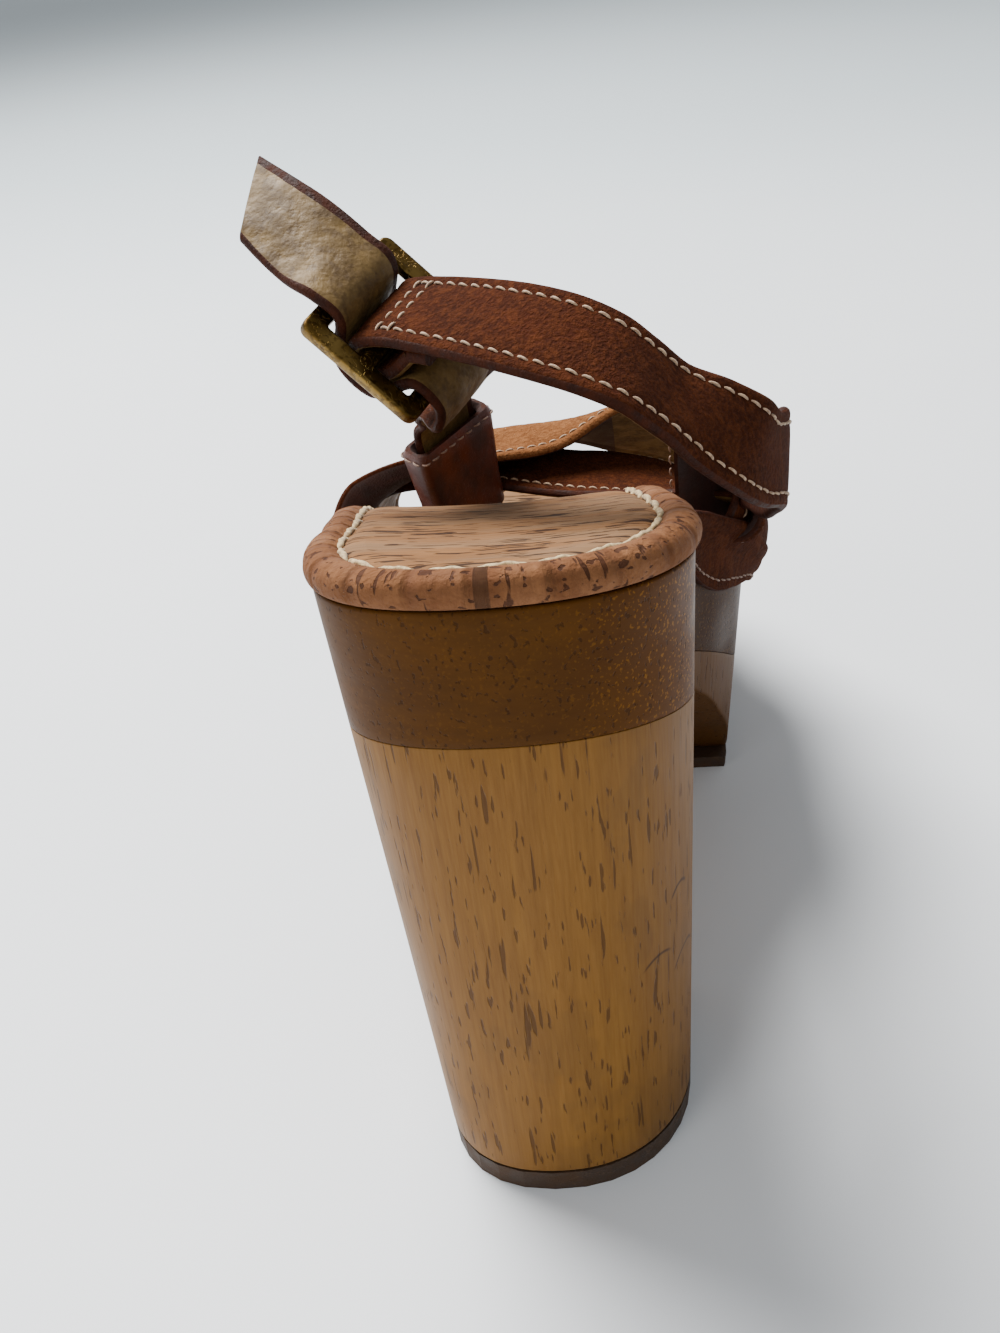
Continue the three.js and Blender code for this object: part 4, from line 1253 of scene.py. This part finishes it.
# Ankle straps
STRAP_SEAM = 2.7
STRAP_COLUMNS = edge_columns(STRAP_WIDTH, 8, STRAP_WALL / 2, STRAP_SEAM)
BILLET_COLUMNS = edge_columns(STRAP_WIDTH, 8, BILLET_WALL / 2, STRAP_SEAM)
FOLD_STEPS = 6
SEWN_END = table("run rise", [
    (0.0, -1.0),
    (0.2, -0.75),
])
SEWN_RUN = (8.5, 11.0, 14.5)
FOLD_SEAMS = (4.2, 6.6)
FOLD_SEAM_COLUMN = 4
STRAP_STEPS = 7
POUCH_END_SHARE = 0.62

BUCKLE_AT, BUCKLE_ACROSS = route_row(BUCKLE_PLACE)
buckle_way = widthway(BUCKLE_LONG["turn"], BUCKLE_LONG["tilt"])
BUCKLE_RUN = (buckle_way - BUCKLE_ACROSS * buckle_way.dot(BUCKLE_ACROSS)).normalized()
BUCKLE_FACE = BUCKLE_ACROSS.cross(BUCKLE_RUN)
OUTER = sleeve_at(OUTER_SLEEVE, OUTER_RUN)
INNER = sleeve_at(INNER_SLEEVE, INNER_RUN)


def in_buckle(run, face):
    return BUCKLE_AT + BUCKLE_RUN * run + BUCKLE_FACE * face


def make_heel_strap():
    wrap = math.hypot(CENTRE_BAR, BUCKLE_PLATE) / 2 + GAP + STRAP_WALL / 2
    route = [route_row(row) for row in SLING] + through_sleeve(INNER, SLING_STRETCH)
    away = route[0][0] - BUCKLE_AT
    away = (away - BUCKLE_ACROSS * away.dot(BUCKLE_ACROSS)).normalized()
    up = away.cross(BUCKLE_ACROSS)

    def place(run, rise):
        return BUCKLE_AT + away * run + up * rise, BUCKLE_ACROSS

    fold = []
    for i in range(FOLD_STEPS + 1):
        turn = math.pi * (1.5 - i / FOLD_STEPS)
        fold.append(place(wrap * math.cos(turn), wrap * math.sin(turn)))
    rows = fold + [place(STRAP_WIDTH / 3, wrap)] + route
    skin = strap_skin(rows, STRAP_COLUMNS, STRAP_STEPS, 0.25)
    materials = [BROWN_SUEDE, GOLD_LINING, PAINTED_EDGE]

    def darker_inside(kind, column, share):
        return 2 if kind == 1 and share > POUCH_END_SHARE else kind

    strap = sheet_piece("heel_strap_leather", skin, STRAP_COLUMNS, STRAP_WALL, STRAP_SEAM, 0.2, materials,
                        0.1, darker_inside)
    dress(strap, "strap_suede", "heel_strap")
    end = [place(STRAP_WIDTH * row["run"], wrap * row["rise"]) for row in SEWN_END]
    middle = skin.last_column // 2
    for distance in SEWN_RUN:
        row = round(row_at(skin, STRAP_STEPS * FOLD_STEPS, distance))
        end.append((skin.rows[row][middle] - skin.normals[row][middle] * (STRAP_WALL + 0.1), BUCKLE_ACROSS))
    end_skin = strap_skin(end, STRAP_COLUMNS, 6, 0.0)
    tail = sheet_piece("heel_strap_end", end_skin, STRAP_COLUMNS, STRAP_WALL, 0, 0, materials)
    dress(tail, "strap_suede", "heel_strap")
    first = STRAP_STEPS * (FOLD_STEPS + 1) - 3
    seam = STRAP_WIDTH / 2 - STRAP_SEAM
    seams = [seam_on(skin, STRAP_COLUMNS, side * seam, STRAP_WALL, first) for side in (-1, 1)]
    for distance in FOLD_SEAMS:
        row = row_at(skin, first, distance - FOLD_SEAMS[0])
        columns = [FOLD_SEAM_COLUMN + (skin.last_column - 2 * FOLD_SEAM_COLUMN) * k / 12 for k in range(13)]
        spots = [skin.spot(row, column) for column in columns]
        seams.append(([at + normal * (STRAP_WALL / 2 + 0.02) for at, normal in spots],
                      [normal for _, normal in spots]))
    sewn("heel_strap_stitches", STRAP_THREAD, "strap_suede", seams, STRAP_STITCH)


def row_at(skin, first, distance):
    """Row, maybe between two, that lies a distance along the sheet past a first row."""
    column = skin.last_column // 2
    run = 0.0
    row = first
    while run < distance and row < skin.last_row:
        step = (skin.rows[row + 1][column] - skin.rows[row][column]).length
        if run + step > distance:
            return row + (distance - run) / step
        run += step
        row += 1
    return row


def make_billet():
    crossbar = BUCKLE_PLATE / 2 + 2 * GAP + BILLET_WALL / 2
    rows = [route_row(row) for row in BILLET_TIP]
    for row in BILLET_PASS:
        run = BUCKLE_HALF * row["half"] + BUCKLE_BAR * row["bar"]
        rows.append((in_buckle(run, crossbar * row["over"] - CENTRE_PASS * row["under"]), BUCKLE_ACROSS))
    rows += [route_row(row) for row in BILLET_ROOT]
    rows += through_sleeve(OUTER, BILLET_STRETCH)
    skin = strap_skin(rows, BILLET_COLUMNS, STRAP_STEPS, 0.3)
    materials = [GOLD_LINING, BROWN_SUEDE, PAINTED_EDGE]

    def bordered(kind, column, share):
        cut = column < 3 or column > skin.last_column - 6
        return 2 if kind == 0 and cut else kind

    billet = sheet_piece("billet_leather", skin, BILLET_COLUMNS, BILLET_WALL, STRAP_SEAM, 0.0, materials,
                         0.2, bordered)
    dress(billet, "billet_leather", "billet_strap")


# Buckle
PLATE_BEVEL = 0.55


def rounded_loop(half_x, low_y, high_y, radius, steps=6):
    points = []
    corners = [(half_x - radius, low_y + radius, -90), (half_x - radius, high_y - radius, 0),
               (radius - half_x, high_y - radius, 90), (radius - half_x, low_y + radius, 180)]
    for x, y, start in corners:
        for k in range(steps + 1):
            turn = math.radians(start + 90 * k / steps)
            points.append((x + radius * math.cos(turn), y + radius * math.sin(turn)))
    return points


def plate_piece(name, loops, thickness, bevel, frame_of, material):
    """A flat plate with holes and rounded edges, placed by (origin, x, y, z) directions."""
    curve = bpy.data.curves.new(name, "CURVE")
    curve.dimensions = "2D"
    curve.fill_mode = "BOTH"
    curve.extrude = (thickness / 2 - bevel) * MM
    curve.bevel_depth = bevel * MM
    curve.bevel_resolution = 3
    curve.offset = -bevel * MM
    for loop in loops:
        spline = curve.splines.new("POLY")
        spline.points.add(len(loop) - 1)
        for point, (x, y) in zip(spline.points, loop):
            point.co = (x * MM, y * MM, 0, 1)
        spline.use_cyclic_u = True
    drawn = put(name, curve)
    bpy.context.view_layer.update()
    mesh = bpy.data.meshes.new_from_object(drawn.evaluated_get(bpy.context.evaluated_depsgraph_get()))
    bpy.data.objects.remove(drawn)
    bpy.data.curves.remove(curve)
    origin, x_way, y_way, z_way = frame_of
    turn = Matrix((x_way, y_way, z_way)).transposed().to_4x4()
    mesh.transform(Matrix.Translation(origin * MM) @ turn)
    mesh.materials.clear()
    mesh.materials.append(material)
    mesh.shade_smooth()
    mesh.set_sharp_from_angle(angle=math.radians(35))
    mesh.name = name
    return put(name, mesh)


def make_buckle():
    inner = STRAP_WIDTH / 2 + STRAP_PLAY
    outer = inner + BUCKLE_BAR
    reach = BUCKLE_HALF + BUCKLE_BAR / 2
    window_end = BUCKLE_HALF - BUCKLE_BAR / 2
    loops = [
        rounded_loop(outer, -reach, reach, BUCKLE_BAR / 2),
        rounded_loop(inner, CENTRE_BAR / 2, window_end, BUCKLE_BAR / 6),
        rounded_loop(inner, -window_end, -CENTRE_BAR / 2, BUCKLE_BAR / 6),
    ]
    frame_of = (BUCKLE_AT, BUCKLE_ACROSS, BUCKLE_RUN, BUCKLE_FACE)
    buckle = plate_piece("buckle", loops, BUCKLE_PLATE, PLATE_BEVEL, frame_of, BRASS)
    dress(buckle, "frame_brass", "buckle_frame")
    eye = math.hypot(CENTRE_BAR, BUCKLE_PLATE) / 2 + 2 * GAP + PRONG / 2
    pin_face = -(BUCKLE_PLATE / 2 + GAP + PRONG / 2)
    knots = []
    for i in range(9):
        turn = math.pi * (0.4 + 1.1 * i / 8)
        knots.append(in_buckle(eye * math.cos(turn), eye * math.sin(turn)))
    knots.append(in_buckle(BUCKLE_HALF + BUCKLE_BAR / 2, pin_face))
    path = [catmull_rom(knots, k / 60) for k in range(61)]
    prong = Thread()
    prong.tube(path, [BUCKLE_ACROSS] * len(path), PRONG / 2, 12)
    dress(prong.piece("prong", BRASS), "prong_brass", "buckle_prong")


# Vamp
def last_section(y, tuck):
    """Points of the last's section at y, from the outer tuck over the instep to the inner tuck."""
    base = cork_line(y)
    rise = VAMP_RISE * smooth(INSTEP, "along", share_at(y), "rise")

    def side_points(side):
        points = []
        for row in LAST_SIDE:
            x = edge(y, side) + side * (VAMP_BULGE * row["out"] - tuck * row["tucked"])
            points.append(Vector((x, y, base + VAMP_RISE * row["up"])))
        return points

    outer = side_points(-1)
    inner = side_points(1)[::-1]
    shoulder = VAMP_RISE * LAST_SHOULDER
    start = outer[-1].x
    end = inner[0].x
    arch = []
    for i in range(1, ARCH_ROWS):
        turn = math.pi * i / ARCH_ROWS
        ridge = BALL_WIDTH * INSTEP_SHIFT * math.sin(turn) ** 2
        x = (start + end) / 2 - (end - start) / 2 * math.cos(turn) + ridge
        arch.append(Vector((x, y, base + shoulder + (rise - shoulder) * math.sin(turn))))
    return outer + arch + inner


SECTION_ROWS = 2 * len(LAST_SIDE) + ARCH_ROWS - 1
BAND_STEPS = 5


def band_skin(table, shares):
    """Middle surface of a vamp band, lifted off the last behind and sagging in front."""
    count = (SECTION_ROWS - 1) * BAND_STEPS
    grid = []
    for k in range(count + 1):
        way = k / count
        rear = place_at(smooth(table, "from", way, "rear"))
        front = place_at(smooth(table, "from", way, "front"))
        lift = BAND_LIFT * smooth(table, "from", way, "lift")
        sag = VAMP_RISE * smooth(table, "from", way, "sag")
        row = way * (SECTION_ROWS - 1)
        first = min(int(row), SECTION_ROWS - 2)
        line = []
        for t in shares:
            section = last_section(rear + (front - rear) * t, TUCK)
            near = section[max(first - 1, 0):first + 3]
            if len(near) < 4:
                at = catmull_rom(section, way)
            else:
                at = blend(near[1], near[2], (near[2] - near[0]) / 2, (near[3] - near[1]) / 2, row - first)
            at.z += lift * (1 - t) ** 2 - sag * t
            line.append(at)
        grid.append(line)
    return Skin(grid)


BAND_WIDTH = 26.0
OUTER_LEG_SHARE = 0.36
SHADE_LINING_SHARE = 0.53


def make_vamp():
    distances = edge_columns(BAND_WIDTH, 10, VAMP_WALL / 2, STRAP_SEAM)
    shares = [d / BAND_WIDTH + 0.5 for d in distances]
    lower = band_skin(LOWER_BAND, shares)
    upper = band_skin(UPPER_BAND, shares)

    # The lining of the band's outer half is painted shade, under its rolled rear edge; the outer leg's face
    # is brown suede
    def shade_lined(kind, column, share):
        if kind == 1:
            return 3 if share < SHADE_LINING_SHARE else 1
        return 4 if share < OUTER_LEG_SHARE else kind

    low_piece = sheet_piece("lower_vamp_band", lower, distances, VAMP_WALL, STRAP_SEAM, 0.2,
                            [BROWN_SUEDE, GOLD_LINING, PAINTED_EDGE], 0.15)
    dress(low_piece, "vamp_suede", "vamp_bands")
    top_piece = sheet_piece("upper_vamp_band", upper, distances, VAMP_WALL, STRAP_SEAM, 0.2,
                            [TAN_SUEDE, GOLD_LINING, TAN_SUEDE, SHADE_LEATHER, BROWN_SUEDE], 0.15, shade_lined)
    dress(top_piece, "vamp_suede", "vamp_bands")
    seam = BAND_WIDTH / 2 - STRAP_SEAM
    seams = []
    for skin in (lower, upper):
        seams += [seam_on(skin, distances, side * seam, VAMP_WALL) for side in (-1, 1)]
    sewn("vamp_stitches", STRAP_THREAD, "vamp_suede", seams, STRAP_STITCH)


# Lips of the leather tubes: corner radius as a share of the smaller half side
LIP_ROUNDING = 0.7
LIP_STEPS = 8
LIP_THINNING = 0.35


def lip_seam(row, inwards, steep=1):
    """Closed seam round the lip of a tube, moved inwards from the lip by a vector."""
    centre, x_way, y_way, half_x, half_y = row
    grow = VAMP_WALL / 2
    loop = rounded_loop(half_x + grow, -half_y - grow, half_y + grow, min(half_x, half_y) * LIP_ROUNDING,
                        LIP_STEPS)
    loop.append(loop[0])
    path = [centre + inwards + x_way * x + y_way * y for x, y in loop]
    return path, [(x_way * x + y_way * y * steep).normalized() for x, y in loop]


def tube_piece(name, rows, finishes, steps):
    """Leather tube with rounded lips, lofted through rows of (centre, x way, y way, half x, half y)."""
    rings = []
    count = (len(rows) - 1) * steps
    for outside in (True, False):
        for k in range(count + 1) if outside else range(count, -1, -1):
            place = k / count * (len(rows) - 1)
            i = min(int(place), len(rows) - 2)
            t = place - i
            t = t * t * (3 - 2 * t)
            first, then = rows[i], rows[i + 1]
            centre, x_way, y_way = (first[n].lerp(then[n], t) for n in range(3))
            half_x = first[3] + (then[3] - first[3]) * t
            half_y = first[4] + (then[4] - first[4]) * t
            grow = VAMP_WALL / 2 if outside else -VAMP_WALL / 2
            if k in (0, count):
                grow *= LIP_THINNING
            radius = min(half_x, half_y) * LIP_ROUNDING
            loop = rounded_loop(half_x + grow, -half_y - grow, half_y + grow, radius, LIP_STEPS)
            rings.append([centre + x_way * x + y_way * y for x, y in loop])
    rings.append(rings[0])
    size = len(rings[0])
    points, faces = ring_skin(rings)
    total = size * (len(rings) - 1)
    faces = [tuple(corner % total for corner in face) for face in faces]
    kinds = []
    for f in range(len(faces)):
        ring = f // size
        if ring in (count, len(rings) - 2):
            kinds.append(2)
        else:
            kinds.append(0 if ring < count else 1)
    piece = new_piece(name, points[:total], faces, finishes, kinds, sharp=45)
    dress(piece, "vamp_suede", "vamp_bands")


# Outer sleeve from its skirt to its rim: (share of the sleeve's length, width, depth)
OUTER_TUBE = [(-1.0, 0.8, 1.6), (-0.45, 0.86, 1.15), (0.0, 0.95, 1.0), (0.5, 1.0, 1.12)]
OUTER_STEPS = 4
OUTER_LIP_SEAM = 1.6


def make_outer_sleeve():
    """Loop for the billet: a flat tube that deepens below and grows into the upper band."""
    at, across, run, face = (OUTER[key] for key in ("at", "across", "run", "face"))
    half_x = (STRAP_WIDTH + VAMP_WALL) / 2 + STRAP_PLAY
    half_y = (BILLET_WALL + VAMP_WALL) / 2 + STRAP_PLAY
    rows = []
    for share, wide, deep in OUTER_TUBE:
        rows.append((at + run * SLEEVE_LENGTH * share, across, face, half_x * wide, half_y * deep))
    # Inside of the sleeve in painted shade
    tube_piece("outer_sleeve", rows, [SMOOTH_LEATHER, SHADE_LEATHER, PAINTED_EDGE], OUTER_STEPS)
    seam = lip_seam(rows[-1], run * -OUTER_LIP_SEAM, 3)
    sewn("outer_sleeve_stitches", PALE_THREAD, "vamp_suede", [seam], STRAP_STITCH)


# Mouth of the pouch that the heel strap slides into, and its throat along the strap
POUCH_MOUTH = {"x": 38.9, "along": 0.5, "z": 90.6, "half_x": 9.0, "half_z": 13.2}
POUCH_STEPS = 5
POUCH_LIP_SEAM = 1.8


def make_pouch():
    at, across, run, face = (INNER[key] for key in ("at", "across", "run", "face"))
    mouth = Vector((POUCH_MOUTH["x"], place_at(POUCH_MOUTH["along"]), POUCH_MOUTH["z"]))
    throat_x = (STRAP_WALL + VAMP_WALL) / 2 + STRAP_PLAY
    throat_z = (STRAP_WIDTH + VAMP_WALL) / 2 + STRAP_PLAY
    side = Vector((1, 0, 0))
    up = Vector((0, 0.12, 1)).normalized()
    rows = [
        (mouth, side, up, POUCH_MOUTH["half_x"], POUCH_MOUTH["half_z"]),
        (at, face, across, throat_x, throat_z),
        (at + run * SLEEVE_LENGTH / 2, face, across, throat_x, throat_z),
    ]
    # Inside of the pouch in painted shade
    tube_piece("inner_pouch", rows, [BROWN_SUEDE, SHADE_LEATHER, PAINTED_EDGE], POUCH_STEPS)
    seam = lip_seam(rows[0], Vector((0, POUCH_LIP_SEAM, 0)))
    sewn("inner_pouch_stitches", PALE_THREAD, "vamp_suede", [seam], STRAP_STITCH)


# Inner leg's flap on the side of the sole: along = share of the length, down = how far it hangs
# below the cork line and up = how far it reaches above it, in millimetres
FLAP = table("along down up", [
    (0.405, -1.5, 2.0),
    (0.415, 3.0, 3.5),
    (0.44, 7.5, 6.0),
    (0.49, 11.0, 8.5),
    (0.53, 8.0, 9.0),
    (0.57, 3.0, 8.0),
    (0.62, 1.0, 5.5),
    (0.66, -1.0, 1.5),
])
FLAP_OUT = table("above out", [
    (-14.0, 1.25),
    (-1.0, 1.35),
    (1.5, 2.2),
    (4.0, 3.6),
    (6.0, 4.9),
    (10.0, 6.0),
])
FLAP_ROWS = 60
FLAP_WIDTH = 16.0


def make_flap():
    distances = edge_columns(FLAP_WIDTH, 8, VAMP_WALL / 2, STRAP_SEAM)
    grid = []
    for r in range(FLAP_ROWS + 1):
        share = FLAP[0]["along"] + (FLAP[-1]["along"] - FLAP[0]["along"]) * r / FLAP_ROWS
        y = place_at(share)
        low = -smooth(FLAP, "along", share, "down")
        high = smooth(FLAP, "along", share, "up")
        slope = (edge(y + 1, 1) - edge(y - 1, 1)) / 2
        out = Vector((1, -slope, 0)).normalized()
        line = []
        for d in distances:
            above = low + (high - low) * (d / FLAP_WIDTH + 0.5)
            z = cork_line(y) + above
            taper = FORE_TAPER * (1 - min(z / cork_line(y), 1.0))
            reach = smooth(FLAP_OUT, "above", above, "out") - taper
            line.append(Vector((edge(y, 1), y, z)) + out * reach)
        grid.append(line)
    skin = Skin(grid)
    # Underside of the flap in painted shade
    flap = sheet_piece("inner_leg_flap", skin, distances, VAMP_WALL, STRAP_SEAM, 0.2,
                       [BROWN_SUEDE, SHADE_LEATHER, PAINTED_EDGE], 0.1)
    dress(flap, "vamp_suede", "vamp_bands")
    seam = seam_on(skin, distances, STRAP_SEAM - FLAP_WIDTH / 2, VAMP_WALL)
    sewn("inner_leg_stitches", PALE_THREAD, "vamp_suede", [seam], STRAP_STITCH)


# Floor, light and camera
FLOOR_HALF = 4.0


def make_stage():
    mesh = bpy.data.meshes.new("floor")
    corners = [(x * FLOOR_HALF, y * FLOOR_HALF, 0) for x, y in ((-1, -1), (1, -1), (1, 1), (-1, 1))]
    mesh.from_pydata(corners, [], [(0, 1, 2, 3)])
    floor = put("floor", mesh)
    mesh.materials.append(pale_floor())


def area_light(name, place, target, size, power):
    data = bpy.data.lights.new(name, "AREA")
    data.shape = "DISK"
    data.size = size
    data.energy = power
    lamp = put(name, data)
    lamp.location = place
    lamp.rotation_euler = (Vector(target) - Vector(place)).to_track_quat("-Z", "Y").to_euler()


def make_light():
    world = bpy.data.worlds.new("studio")
    world.use_nodes = True
    sky = world.node_tree.nodes["Background"]
    sky.inputs["Color"].default_value = (0.86, 0.9, 0.94, 1)
    sky.inputs["Strength"].default_value = 0.6
    bpy.context.scene.world = world
    area_light("window", (-0.6, 0.75, 1.5), (0, 0.02, 0.05), 1.1, 95)
    area_light("front_fill", (-0.9, -1.1, 0.9), (0, 0, 0.09), 0.8, 8)


def make_camera():
    data = bpy.data.cameras.new("photo_view")
    data.sensor_width = 36
    data.lens = CLOSER * PHOTO_FOCAL / PHOTO_SIZE[1] * data.sensor_width
    data.clip_start = 0.01
    camera = put("photo_view", data)
    turn = Matrix.Rotation(math.radians(PHOTO_TURN), 4, "Z")
    photo = turn @ Matrix.Rotation(math.radians(PHOTO_TILT), 4, "X")
    across = SANDAL_CENTRE[0] - PHOTO_SIZE[0] / 2
    sight = Vector((across, PHOTO_SIZE[1] / 2 - SANDAL_CENTRE[1], -PHOTO_FOCAL))
    aim = Vector((0, 0, -1)).rotation_difference(sight.normalized()).to_matrix().to_4x4()
    camera.matrix_world = Matrix.Translation(Vector(EYE) * MM) @ photo @ aim
    bpy.context.scene.camera = camera


make_camera()
make_stage()
make_light()
make_sole()
keep_rubber()
make_footbed()
make_vamp()
make_outer_sleeve()
make_pouch()
make_flap()
make_heel_strap()
make_billet()
make_buckle()
